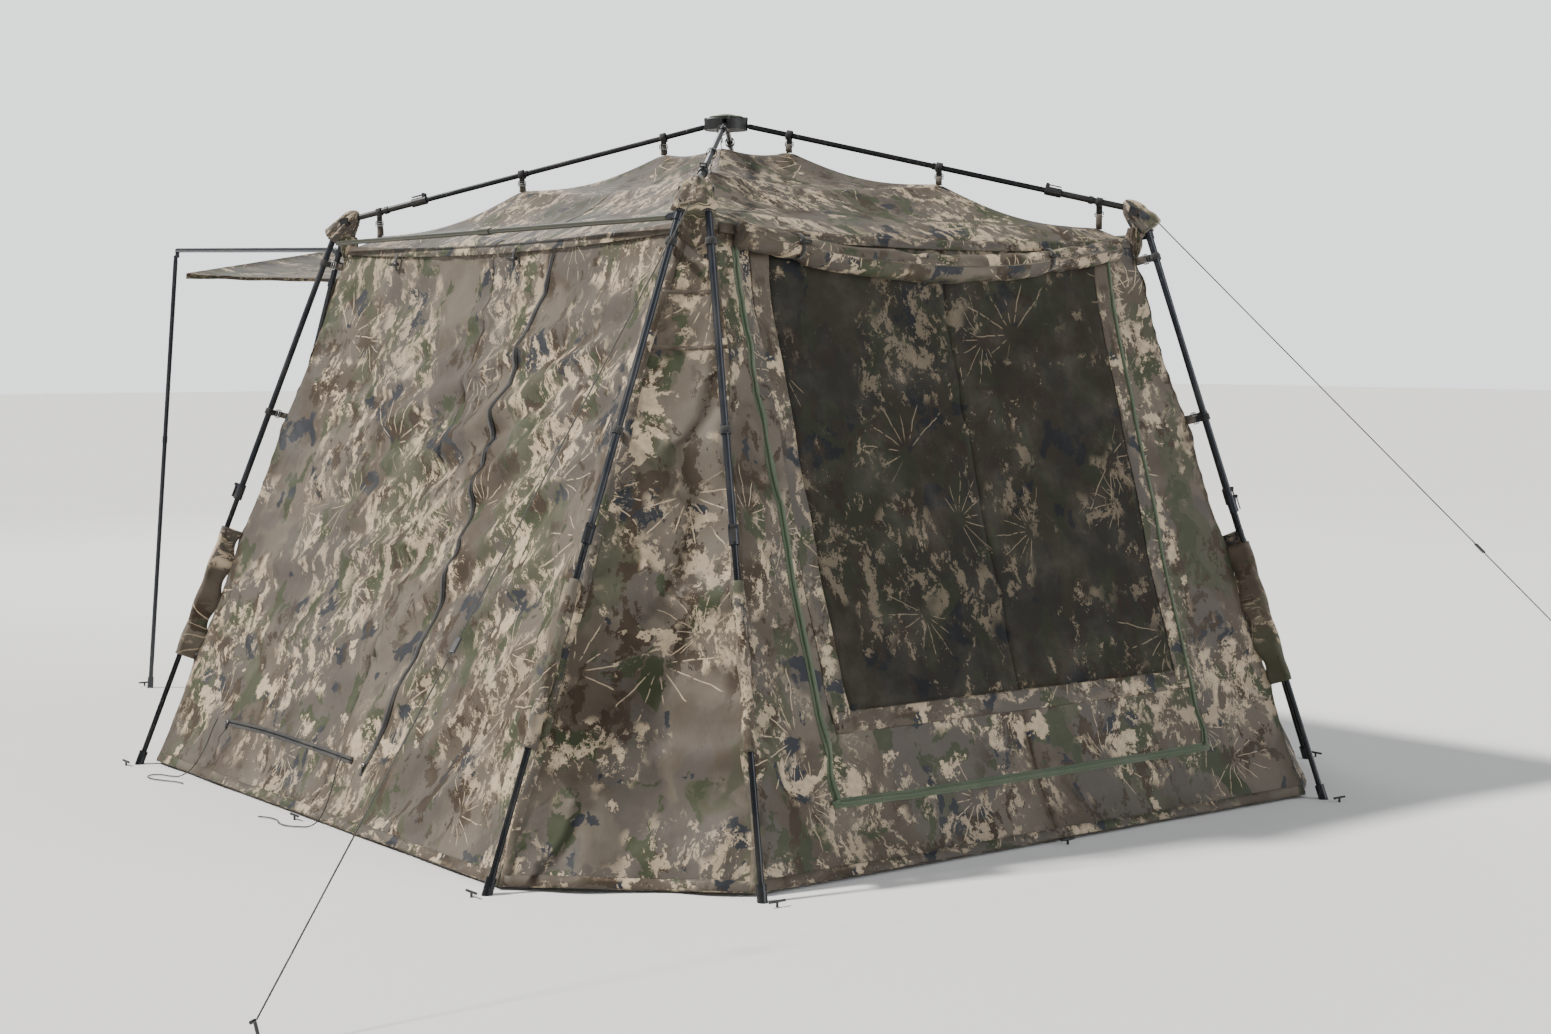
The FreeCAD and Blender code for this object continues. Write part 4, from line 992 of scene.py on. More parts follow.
def surface_sheet(name, surface, outside, material, keep=None):
    """Make a thick sheet from a surface, facing outwards, with only the faces that are kept."""
    rows, columns = surface.across.shape
    faces = grid_faces(rows, columns)
    if keep is not None:
        middles = [(np.mean([surface.across.ravel()[index] for index in face]),
                    np.mean([surface.along.ravel()[index] for index in face])) for face in faces]
        faces = [face for face, middle in zip(faces, middles) if keep(*middle)]
    points = surface.points.reshape(-1, 3)
    first = faces[len(faces) // 2]
    way = np.cross(points[first[1]] - points[first[0]], points[first[2]] - points[first[1]])
    if np.dot(way, np.array(outside)) < 0:
        faces = [tuple(reversed(face)) for face in faces]
    thing = mesh_object(name, points, faces, material, surface.uvs())
    work = bmesh.new()
    work.from_mesh(thing.data)
    bmesh.ops.delete(work, geom=[vertex for vertex in work.verts if not vertex.link_faces], context="VERTS")
    work.to_mesh(thing.data)
    work.free()
    return thing


WINDOW_HALF = (WINDOW_HIGH.x - WINDOW_LOW.x) / 2
OPENINGS = {"front": (WINDOW_HALF, WINDOW_LOW.z, SKIN_LOW.z - 0.06), "rear": (0.55, 0.0, 1.56)}
FOLDS = {
    "front": [
        (-1.00, 0.06, -0.50, 0.52, 0.026, 0.026), (1.00, 0.08, 0.42, 0.48, 0.028, 0.026),
        (-0.80, 0.04, -0.15, 0.36, 0.026, 0.018), (0.75, 0.05, 0.10, 0.30, 0.028, 0.018),
        (-0.78, 1.66, -0.72, 0.80, 0.022, 0.018), (0.78, 1.66, 0.76, 0.70, 0.022, 0.020),
        (-0.70, 1.64, 0.45, 1.10, 0.036, 0.014), (0.66, 1.62, -0.30, 0.98, 0.036, 0.014),
        (-0.55, 0.80, 0.50, 0.60, 0.040, 0.010)],
    "rear": [
        (-0.98, 0.10, -0.60, 1.10, 0.030, 0.026), (0.98, 0.10, 0.60, 1.15, 0.030, 0.026),
        (-0.80, 1.66, 0.0, 1.60, 0.024, 0.012), (0.80, 1.66, 0.1, 1.60, 0.024, 0.012)],
    "left": [
        (-0.92, 1.60, 0.62, 1.06, 0.030, 0.050), (-0.95, 1.52, 0.45, 0.86, 0.032, 0.052),
        (-0.97, 1.40, 0.25, 0.66, 0.034, 0.050), (-0.98, 1.24, 0.10, 0.42, 0.036, 0.046),
        (-1.00, 1.02, -0.05, 0.20, 0.036, 0.042), (-1.02, 0.76, -0.35, 0.08, 0.036, 0.036),
        (-0.60, 1.66, 0.80, 1.36, 0.024, 0.030), (0.05, 1.66, 0.92, 1.50, 0.022, 0.024),
        (0.00, 1.10, 1.02, 0.86, 0.030, 0.034), (-0.10, 0.84, 1.04, 0.62, 0.032, 0.032),
        (-0.20, 0.58, 1.06, 0.40, 0.034, 0.028), (0.10, 1.34, 0.98, 1.16, 0.026, 0.028),
        (-0.45, 1.46, -0.30, 0.96, 0.030, 0.020), (-1.04, 0.50, -0.60, 0.05, 0.034, 0.026),
        (-0.94, 1.57, 0.10, 1.16, 0.016, 0.020), (-0.96, 1.46, 0.02, 0.92, 0.016, 0.022),
        (-0.98, 1.30, -0.08, 0.66, 0.017, 0.020), (-0.26, 0.98, 0.45, 0.84, 0.014, 0.018),
        (-0.27, 0.90, 0.50, 0.74, 0.014, 0.018), (-0.27, 0.80, 0.40, 0.62, 0.014, 0.018),
        (-0.25, 0.68, 0.45, 0.50, 0.014, 0.016), (-0.24, 1.22, 0.50, 1.06, 0.015, 0.018),
        (1.04, 0.96, 0.40, 0.86, 0.016, 0.020), (1.06, 0.74, 0.45, 0.70, 0.016, 0.020),
        (1.02, 1.12, 0.55, 1.04, 0.016, 0.018), (1.07, 0.54, 0.50, 0.56, 0.018, 0.018)],
    "right": [
        (0.92, 1.58, -0.62, 1.05, 0.032, 0.044), (0.96, 1.36, -0.30, 0.70, 0.034, 0.042),
        (1.00, 1.02, -0.05, 0.40, 0.036, 0.036), (-0.92, 1.52, 0.20, 1.16, 0.030, 0.030),
        (-0.98, 1.10, 0.10, 0.76, 0.032, 0.028), (1.02, 0.64, 0.30, 0.14, 0.036, 0.028),
        (-1.02, 0.65, -0.35, 0.28, 0.034, 0.024)]}
# the slack, the pull of the edges, the height and size of the ripples, and their seed
WALL_SHAPES = {"front": (0.018, 12, 0.010, 0.22, 2), "rear": (0.018, 12, 0.010, 0.22, 4),
               "left": (0.030, 10, 0.012, 0.25, 7), "right": (0.030, 10, 0.012, 0.25, 9)}
TOP_BAND = 0.10
SURFACES = {}
WALL_LEAN = 0.28


def wall_point(side, start, end, place, height):
    """Return the point of a wall at a flat place between two seams: its slack, folds and ripples."""
    slack, pull, ripple_height, ripple_size, seed = WALL_SHAPES[side]
    axis = 0 if SIDES[side][2] == "end" else 1
    share = (place - start[axis]) / (end[axis] - start[axis])
    near_top = max(0.0, 1 - (SKIN_LOW.z - height) / TOP_BAND)
    level = start.copy()
    level[axis], level.z = place, SKIN_LOW.z
    point = start.lerp(end, share) + (eave_point(side, share) - level) * near_top ** 2
    belly = math.sin(math.pi * share) * math.sin(math.pi * (SKIN_LOW.z - height) / SKIN_LOW.z)
    across = place - HUB.y if axis else place
    rise = fold_height(FOLDS[side], across, height)
    rise += ripple_height * ripple((across, height), ripple_size, seed)
    above_hem = height - bpy.context.scene.blind_sizes.hem_height
    edge = min(1.0, share * pull, (1 - share) * pull, above_hem / 0.05 + 0.4)
    return point + Vector((*OUTSIDE[side].xy, WALL_LEAN)) * (belly * -slack + rise * edge * (1 - near_top))


def wall_heights(side):
    """Return the heights of a wall's rows: straight lines run along the edges of an opening."""
    hem = bpy.context.scene.blind_sizes.hem_height
    if side not in OPENINGS:
        return np.linspace(SKIN_LOW.z, hem, 66)
    _, low, high = OPENINGS[side]
    heights = list(np.linspace(SKIN_LOW.z, high, 7))[:-1] + list(np.linspace(high, max(low, hem), 46))
    return heights + (list(np.linspace(low, hem, 17))[1:] if low > hem else [])


def wall_surface(side):
    """Lay out a wall between its two seams."""
    first, second, kind = SIDES[side]
    rows = []
    for height in wall_heights(side):
        start, end = seam_point(first, kind, height), seam_point(second, kind, height)
        if side in OPENINGS:
            half = OPENINGS[side][0]
            row = (list(np.linspace(start.x, -half, 13))[:-1] + list(np.linspace(-half, half, 57))
                   + list(np.linspace(half, end.x, 13))[1:])
        else:
            row = np.linspace(start.y, end.y, 92)
        rows.append((row, height, [wall_point(side, start, end, place, height) for place in row]))
    return Surface(rows)


def held_edges(shape, width=1, strong=1.0):
    """Return the weights that hold the rim of a grid."""
    held = np.zeros(shape)
    held[:width, :] = held[-width:, :] = strong
    held[:, :width] = held[:, -width:] = strong
    return held


class BLIND_OT_end_walls(bpy.types.Operator):
    """Make the front wall with its window mesh and the rear wall with its doorway"""

    bl_idname = "blind.end_walls"
    bl_label = "Front and Rear Walls"

    def execute(self, context):
        for name, (half, low, high) in OPENINGS.items():
            surface = wall_surface(name)
            held = held_edges(surface.across.shape)
            if name == "rear":
                held[(np.abs(surface.across) <= half + 0.001) & (surface.along <= high + 0.001)] = 1.0
            settle_surface(name + "_wall_cloth", surface, held, 20, 0.006, 0.030)
            SURFACES[name] = surface

            def inside(x, z, half=half, low=low, high=high):
                return abs(x) < half and low < z < high

            wall = surface_sheet(name + "_wall_skin", surface, OUTSIDE[name], cloth_finish(),
                                 lambda x, z: not inside(x, z))
            for part in attach_wall(wall, name, cloth=True):
                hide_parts(name + "_wall")
            if name == "front":
                mesh = surface_sheet("window_mesh_cloth", surface, OUTSIDE[name], lining_finish(), inside)
                for part in attach_wall(mesh, name, True):
                    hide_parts("front_window_mesh")
        return {"FINISHED"}


class BLIND_OT_side_walls(bpy.types.Operator):
    """Make the left and right walls"""

    bl_idname = "blind.side_walls"
    bl_label = "Side Walls"

    def execute(self, context):
        for name in ("left", "right"):
            surface = wall_surface(name)
            settle_surface(name + "_wall_cloth", surface, held_edges(surface.across.shape), 20, 0.006, 0.030)
            SURFACES[name] = surface
            wall = surface_sheet(name + "_wall_skin", surface, OUTSIDE[name], cloth_finish())
            for part in attach_wall(wall, name, cloth=True):
                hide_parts(name + "_wall")
        return {"FINISHED"}


class BLIND_OT_corner_panels(bpy.types.Operator):
    """Make the narrow panels between the two legs of each corner"""

    bl_idname = "blind.corner_panels"
    bl_label = "Corner Panels"

    def execute(self, context):
        sizes = context.scene.blind_sizes
        for corner, (sign_x, sign_y) in CORNERS.items():
            rows = []
            outside = Vector((sign_x, sign_y, 0.4))
            for height in np.linspace(SKIN_LOW.z, sizes.hem_height, 62):
                first = seam_point(corner, "side", height)
                second = seam_point(corner, "end", height)
                width = (second - first).length
                row = np.linspace(-width / 2, width / 2, 25)
                line = []
                for place in row:
                    share = place / width + 0.5
                    hang = math.sin(math.pi * share) * min(1.0, width)
                    low_share = 1 - height / SKIN_LOW.z
                    rise = -0.060 * hang * math.sin(math.pi * min(1.0, low_share * 1.05))
                    wave = math.sin(share * 9.5 + sign_x) * math.sin(math.pi * share)
                    rise += 0.020 * low_share ** 2 * wave
                    seed = 12 + sign_x + sign_y * 2
                    rise += 0.014 * low_share * ripple((place, height), 0.14, seed) * hang * 2
                    line.append(first.lerp(second, share) + outside.normalized() * rise)
                rows.append((row + 2.6 * sign_x, height, line))
            surface = Surface(rows)
            settle_surface("corner_cloth", surface, held_edges(surface.across.shape), 16, 0.02, 0.03)
            SURFACES[corner] = surface
            panel = surface_sheet("corner_panel_" + corner, surface, outside, cloth_finish())
            thicken(panel, sizes.cloth)
            shown_with(panel, LEGS[corner, "side"].body, corner_squash(corner))
            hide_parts("corner_panels")
        return {"FINISHED"}


RIDGE_STRAPS = (0.0, 0.12, 0.50, 0.895, 1.0)
STRAP_BITE = 0.003
LEG_STRAPS = (0.07, 0.35)


def ridge_point(corner, share):
    """Return the point of a roof seam under its arm: it hangs from straps and sags between them."""
    sizes = bpy.context.scene.blind_sizes
    arm = ARMS[corner]
    corner_drop = arm.at(1.0).z - SKIN_LOW.z
    drops = (sizes.peak_drop, sizes.ridge_drop, sizes.ridge_drop, sizes.ridge_drop * 1.55, corner_drop)
    drop = float(np.interp(share, RIDGE_STRAPS, drops))
    for first, second in zip(RIDGE_STRAPS, RIDGE_STRAPS[1:]):
        if first <= share <= second:
            drop += 0.095 * (second - first) * math.sin(math.pi * (share - first) / (second - first))
    top = roof_corner(corner)
    place = arm.at(share)
    place = place.lerp(Vector((HUB.x, HUB.y, place.z)), max(0.0, 1 - share / 0.06))
    place = place.lerp(Vector((top.x, top.y, place.z)), max(0.0, (share - 0.92) / 0.08))
    return Vector((place.x, place.y, place.z - drop))


def roof_surface(side):
    """Lay out one roof sector between its two ridge seams and its eave."""
    first, second, kind = SIDES[side]
    rows = []
    for share in np.linspace(0.0, 1.0, 46):
        left, right = ridge_point(first, share), ridge_point(second, share)
        eave_left, eave_right = seam_point(first, kind, SKIN_LOW.z), seam_point(second, kind, SKIN_LOW.z)
        blend = max(0.0, (share - 0.9) / 0.1)
        left, right = left.lerp(eave_left, blend), right.lerp(eave_right, blend)
        width = (right - left).length
        row = np.linspace(-width / 2, width / 2, 60)
        line = []
        for index, place in enumerate(row):
            part = index / 59
            flat = left.lerp(right, part)
            hang = 4 * part * (1 - part)
            flat = flat.lerp(eave_point(side, part), blend ** 2)
            sag = -0.030 * hang * math.sin(math.pi * share) * (1 - blend)
            wave = 0.010 * ripple((place + 5, share * 1.3), 0.2, 17 + len(side)) * min(1, hang * 3)
            wave *= 1 - blend
            pull = 0.010 * math.sin(part * 26 + share * 5) * hang * max(0.0, share - 0.35) * (1 - blend)
            line.append(flat + UP * (sag + wave + pull))
        rows.append((row, share * 1.25 + 3.0, line))
    return Surface(rows)


class BLIND_OT_roof(bpy.types.Operator):
    """Make the four roof sectors, which hang from straps under the arms"""

    bl_idname = "blind.roof"
    bl_label = "Roof"

    def execute(self, context):
        for side, (_, _, kind) in SIDES.items():
            surface = roof_surface(side)
            settle_surface("roof_cloth", surface, held_edges(surface.across.shape), 18, 0.010, 0.03)
            SURFACES["roof_" + side] = surface
            sector = surface_sheet("roof_sector_" + side, surface, (0, 0, 1), cloth_finish())
            for corner, half in halves_of(sector, side, True).items():
                shown_with(half, ARMS[corner].body, roof_squash(corner, kind))
                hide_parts("roof_skin")
        return {"FINISHED"}


# ---------------------------------------------------------------- finishes of the frame

def finish_frame():
    """Give each kept node of the frame its finish."""
    slots = {"frame_tube": "slate powder coat", "inner_tube": "dark anodised tube",
             "black_plastic": "moulded black nylon", "corner_fitting": "moulded black nylon",
             "steel_peg": "coated peg steel", "olive_bar": "olive bar coat"}
    for node in frame["nodes"]:
        thing = bpy.data.objects.get(node)
        if thing is None:
            continue
        for holder in thing.material_slots:
            name = holder.material.name.split(".")[0] if holder.material else ""
            if name in slots:
                holder.material = hard_finish(slots[name])
            elif name == "guy_cord":
                holder.material = woven_finish("black tape")


class BLIND_OT_frame(bpy.types.Operator):
    """Finish the tubes, fittings and pegs, and add the hub's trim"""

    bl_idname = "blind.frame"
    bl_label = "Frame Finishes"

    def execute(self, context):
        finish_frame()
        low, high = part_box("hub_cap")
        centre = Vector((HUB.x, HUB.y, high.z - 0.010))
        ring = [centre + Vector((math.cos(turn), math.sin(turn), 0)) * ((high.x - low.x) / 2 - 0.014)
                for turn in np.linspace(0, 2 * math.pi, 49)]
        trim = pipe("hub_trim", ring, 0.0022, hard_finish("pale green trim"), 8, [UP] * len(ring))
        shown_with(trim, "root")
        return {"FINISHED"}


# ---------------------------------------------------------------- straps and boots

def webbing_loop(name, centre, way, radius, width, material, turn=2 * math.pi):
    """Make a flat band of webbing around a tube."""
    side = way.orthogonal().normalized()
    other = way.cross(side)
    angles = np.linspace(0, turn, 33)
    points = [centre + side * (math.cos(angle) * radius) + other * (math.sin(angle) * radius)
              for angle in angles]
    normals = [(point - centre).normalized() for point in points]
    return ribbon(name, points, normals, width, 0.0016, material)


def join_things(name, things):
    """Join objects into one mesh with the materials of all."""
    work = bmesh.new()
    materials = []
    layer = work.loops.layers.uv.new("UVMap")
    for thing in things:
        mesh = thing.data
        start = len(materials)
        materials += list(mesh.materials)
        added = bmesh.new()
        added.from_mesh(mesh)
        source = added.loops.layers.uv.active
        table = [work.verts.new(vertex.co) for vertex in added.verts]
        for face in added.faces:
            copy = work.faces.new([table[vertex.index] for vertex in face.verts])
            copy.material_index = start + face.material_index
            copy.smooth = face.smooth
            if source is not None:
                for loop, old in zip(copy.loops, face.loops):
                    loop[layer].uv = old[source].uv
        added.free()
        bpy.data.objects.remove(thing)
    mesh = bpy.data.meshes.new(name)
    work.to_mesh(mesh)
    work.free()
    for material in materials:
        mesh.materials.append(material)
    return new_object(name, mesh)


def buckle(name, centre, way, up, width, height):
    """Make a flat steel slot buckle: a rounded frame with a middle bar."""
    side = way.cross(up).normalized()
    corners = [(-0.5, -0.42), (-0.42, -0.5), (0.42, -0.5), (0.5, -0.42), (0.5, 0.42), (0.42, 0.5),
               (-0.42, 0.5), (-0.5, 0.42), (-0.5, -0.42), (-0.42, -0.5)]
    steel = hard_finish("bright steel")
    ring = [centre + side * (x * width) + way * (z * height) for x, z in corners]
    frame_part = pipe(name + "_frame", ring, 0.0019, steel, 6, [up] * len(ring))
    half = side * (width / 2)
    bar = pipe(name + "_bar", [centre - half, centre + half], 0.0016, steel, 6)
    return join_things(name, [frame_part, bar])


def hanging_strap(name, top, bottom, way, radius):
    """Make a strap from a tube down to the cloth: a black loop, a buckle and brown webbing."""
    sizes = bpy.context.scene.blind_sizes
    width = sizes.strap_width
    down = (bottom - top).normalized()
    side = away_from(way, down)
    face = down.cross(side)
    loop = webbing_loop(name + "_loop", top, way, radius + 0.0022, width, woven_finish("black tape"))
    start = top + down * (radius + 0.002)
    middle = start.lerp(bottom, 0.36)
    short = [start, start.lerp(middle, 0.5) + face * 0.001, middle]
    upper = ribbon(name + "_upper", short, [face] * 3, width, 0.0018, woven_finish("black tape"))
    slot_piece = buckle(name + "_buckle", middle, down, face, width + 0.007, 0.015)
    bend = smooth_path([middle, middle.lerp(bottom, 0.5) + face * 0.003, bottom], 0.012)
    brown = woven_finish("brown webbing")
    lower = ribbon(name + "_lower", bend, [face] * len(bend), width, 0.0018, brown)
    tail_end = middle.lerp(bottom, 0.85) + face * 0.014
    loose = [middle + face * 0.003, middle.lerp(tail_end, 0.5) + face * 0.006, tail_end]
    tail_path = smooth_path(loose, 0.01)
    tail = ribbon(name + "_tail", tail_path, [face] * len(tail_path), width * 0.95, 0.0016, brown)
    return join_things(name, [loop, upper, slot_piece, lower, tail])


class BLIND_OT_straps(bpy.types.Operator):
    """Hang the roof from its arms and tie the seams to the legs with webbing straps and buckles"""

    bl_idname = "blind.straps"
    bl_label = "Straps"

    def execute(self, context):
        for corner, arm in ARMS.items():
            for index, share in enumerate(RIDGE_STRAPS[1:-1]):
                top = arm.at(share)
                low = Vector((top.x, top.y, ridge_point(corner, share).z - STRAP_BITE))
                radius = 0.0105 if share > 0.8 else 0.0125
                strap = hanging_strap(f"roof_strap_{corner}_{index}", top, low, arm.way, radius)
                shown_with(strap, arm.body)
        for (corner, kind), leg in LEGS.items():
            for index, share in enumerate(LEG_STRAPS):
                place = leg.at(share)
                seam = seam_point(corner, kind, place.z - 0.015)
                strap = hanging_strap(f"leg_strap_{corner}_{kind}_{index}", place, seam, leg.way, 0.0115)
                shown_with(strap, leg.body)
        return {"FINISHED"}


BOOT_PROFILE = ((0.0, 0.90), (0.04, 1.0), (0.30, 0.92), (0.55, 0.80), (0.78, 0.62), (0.92, 0.40), (1.0, 0.16))
HOOD_PROFILE = ((0.0, 0.10), (0.08, 0.45), (0.22, 0.75), (0.50, 0.95), (0.80, 1.0), (1.0, 0.85))


def gathered_cover(name, foot, top, across_way, radii, profile, seed):
    """Make a gathered cloth cover from its foot to its top: folds run along it and swell at the wide end."""
    way = (top - foot).normalized()
    side = away_from(across_way, way)
    other = way.cross(side)
    places, sizes = zip(*profile)
    rings, uvs = [], []
    count = 80
    for share in np.linspace(0, 1, 26):
        size = float(np.interp(share, places, sizes))
        ring = []
        for step in range(count):
            turn = 2 * math.pi * step / count
            folds = (0.075 * math.sin(turn * 7 + seed + 3.0 * share)
                     + 0.05 * math.sin(turn * 13 + seed * 2 - 4 * share))
            round_place = Vector((math.cos(turn) * 1.7, math.sin(turn) * 1.7, share * 3.5 + seed))
            lump = 0.16 * noise.noise(round_place)
            reach = size * (1 + folds + lump)
            ring.append(foot.lerp(top, share) + side * (math.cos(turn) * reach * radii[0])
                        + other * (math.sin(turn) * reach * radii[1]))
            uvs.append((turn * radii[0] + seed, share * (top - foot).length + seed))
        rings.append(ring)
    return loft(name, rings, cloth_finish(), uvs)


class BLIND_OT_boots(bpy.types.Operator):
    """Make the gathered cloth boots over the corner fittings, with the black bindings of their openings"""

    bl_idname = "blind.boots"
    bl_label = "Corner Boots"

    def execute(self, context):
        radius = context.scene.blind_sizes.boot
        for index, (corner, (sign_x, sign_y)) in enumerate(CORNERS.items()):
            arm = ARMS[corner]
            knuckle = arm.at(1.0) + arm.way * 0.002
            outwards = Vector((sign_x, sign_y, 0)).normalized()
            tangent = outwards.cross(UP)
            foot = knuckle + outwards * 0.022 - UP * 0.062
            top = knuckle - arm.way * 0.060 + UP * 0.022
            boot = gathered_cover(f"boot_{corner}", foot, top, tangent, (radius, radius * 0.74), BOOT_PROFILE,
                                  index * 1.7 + 0.4)
            parts = [boot]
            for kind in ("side", "end"):
                leg = LEGS[corner, kind]
                collar = leg.start + leg.way * 0.045
                parts.append(webbing_loop(f"boot_binding_{corner}_{kind}", collar, leg.way, 0.0165, 0.012,
                                          woven_finish("black tape")))
            band = webbing_loop(f"boot_band_{corner}", knuckle - arm.way * 0.052, arm.way, 0.017, 0.012,
                                woven_finish("black tape"))
            parts.append(band)
            joined = join_things(f"corner_boot_{corner}", parts)
            shown_with(joined, f"corner_{corner}")
            shade = [seam_point(corner, "side", SKIN_LOW.z), seam_point(corner, "end", SKIN_LOW.z)]
            middle = (shade[0] + shade[1]) / 2 + outwards * 0.010
            hood = gathered_cover(f"hood_{corner}", middle - UP * 0.055, middle + UP * 0.050, tangent,
                                  (radius * 0.86, radius * 0.42), HOOD_PROFILE, index + 5.1)
            shown_with(hood, LEGS[corner, "side"].body, corner_squash(corner))
        return {"FINISHED"}


SLEEVE_TOP, SLEEVE_FOOT = 0.565, 0.80


class BLIND_OT_leg_sleeves(bpy.types.Operator):
    """Make the cloth sleeves that hold the skin to the lower half of each leg"""

    bl_idname = "blind.leg_sleeves"
    bl_label = "Leg Sleeves"

    def execute(self, context):
        for number, ((corner, kind), leg) in enumerate(LEGS.items()):
            rings, uvs = [], []
            count = 28
            for share in np.linspace(SLEEVE_TOP, SLEEVE_FOOT, 46):
                place = leg.at(share)
                seam = seam_point(corner, kind, place.z)
                toward = away_from(seam - place, leg.way)
                other = leg.way.cross(toward)
                gap = (seam - place).dot(toward)
                edge = min(1.0, (share - SLEEVE_TOP) / 0.012, (SLEEVE_FOOT - share) / 0.012)
                ring = []
                for step in range(count):
                    turn = 2 * math.pi * step / count
                    reach = 0.0165 + 0.0022 * math.sin(share * 90 + turn * 2 + number) * edge
                    forward = math.cos(turn) * reach
                    if forward > 0:
                        forward *= 1 + (max(gap, 0.02) - 0.012) / 0.0185 * (math.cos(turn) ** 3)
                    ring.append(place + toward * forward + other * (math.sin(turn) * reach))
                    uvs.append((turn * 0.02 + number, share * leg.length))
                rings.append(ring)
            sleeve = loft(f"leg_sleeve_{corner}_{kind}", rings, cloth_finish(), uvs)
            shown_with(sleeve, leg.body)
        return {"FINISHED"}


# ---------------------------------------------------------------- front trim

def strip_on(name, surface, places, outside, width, material, lift=0.0016, thickness=0.0014, crown=0.2):
    """Lay a flat strip on a surface along flat places."""
    points, normals = surface.path(places, outside, lift)
    return ribbon(name, points, normals, width, thickness, material, crown)


def stitches_on(name, surface, lines, outside, lift=0.0032):
    """Sew rows of stitches on a surface along flat places."""
    sizes = bpy.context.scene.blind_sizes
    paths = [surface.path(places, outside, lift, 0.012) for places in lines]
    return pieces_on_paths(name, paths, sizes.stitch * 1.7, (sizes.stitch, 0.0012, 0.0010),
                           woven_finish("olive thread"))


def zip_on(name, surface, places, outside, slider_at):
    """Lay a closed zip on a surface: two tapes, a row of teeth and a slider with its puller."""
    sizes = bpy.context.scene.blind_sizes
    tape = strip_on(name + "_tape", surface, places, outside, sizes.zip_width, woven_finish("black tape"),
                    0.0020)
    points, normals = surface.path(places, outside, 0.0050, 0.010)
    teeth = pieces_on_paths(name + "_teeth", [(points, normals)], 0.0042, (0.0026, 0.0062, 0.0030),
                            hard_finish("moulded black nylon"))
    index = int(slider_at * (len(points) - 1))
    way = path_ways(points)[index]
    centre, normal = points[index], normals[index]
    side = way.cross(normal)
    block = [[centre + way * (x * 0.012) + side * (s * 0.0055) + normal * (h * 0.0035 + 0.002)
              for s, h in ((-1, -1), (1, -1), (1, 1), (-1, 1))] for x in (-0.5, 0.5)]
    body = loft(name + "_slider", block, hard_finish("bright steel"))
    puller = ribbon(name + "_puller", [centre + normal * 0.006, centre + normal * 0.010 - UP * 0.02,
                                       centre + normal * 0.008 - UP * 0.055], [normal] * 3, 0.009, 0.002,
                    woven_finish("black tape"))
    return join_things(name, [tape, teeth, body, puller])


WINDOW_FRAME = ((-0.758, 1.690), (-0.752, 1.20), (-0.748, 0.70), (-0.740, 0.245), (-0.728, 0.212),
                (-0.700, 0.200), (0.0, 0.196), (0.665, 0.200), (0.690, 0.212), (0.700, 0.245),
                (0.700, 0.70), (0.702, 1.20),
                (0.705, 1.690))


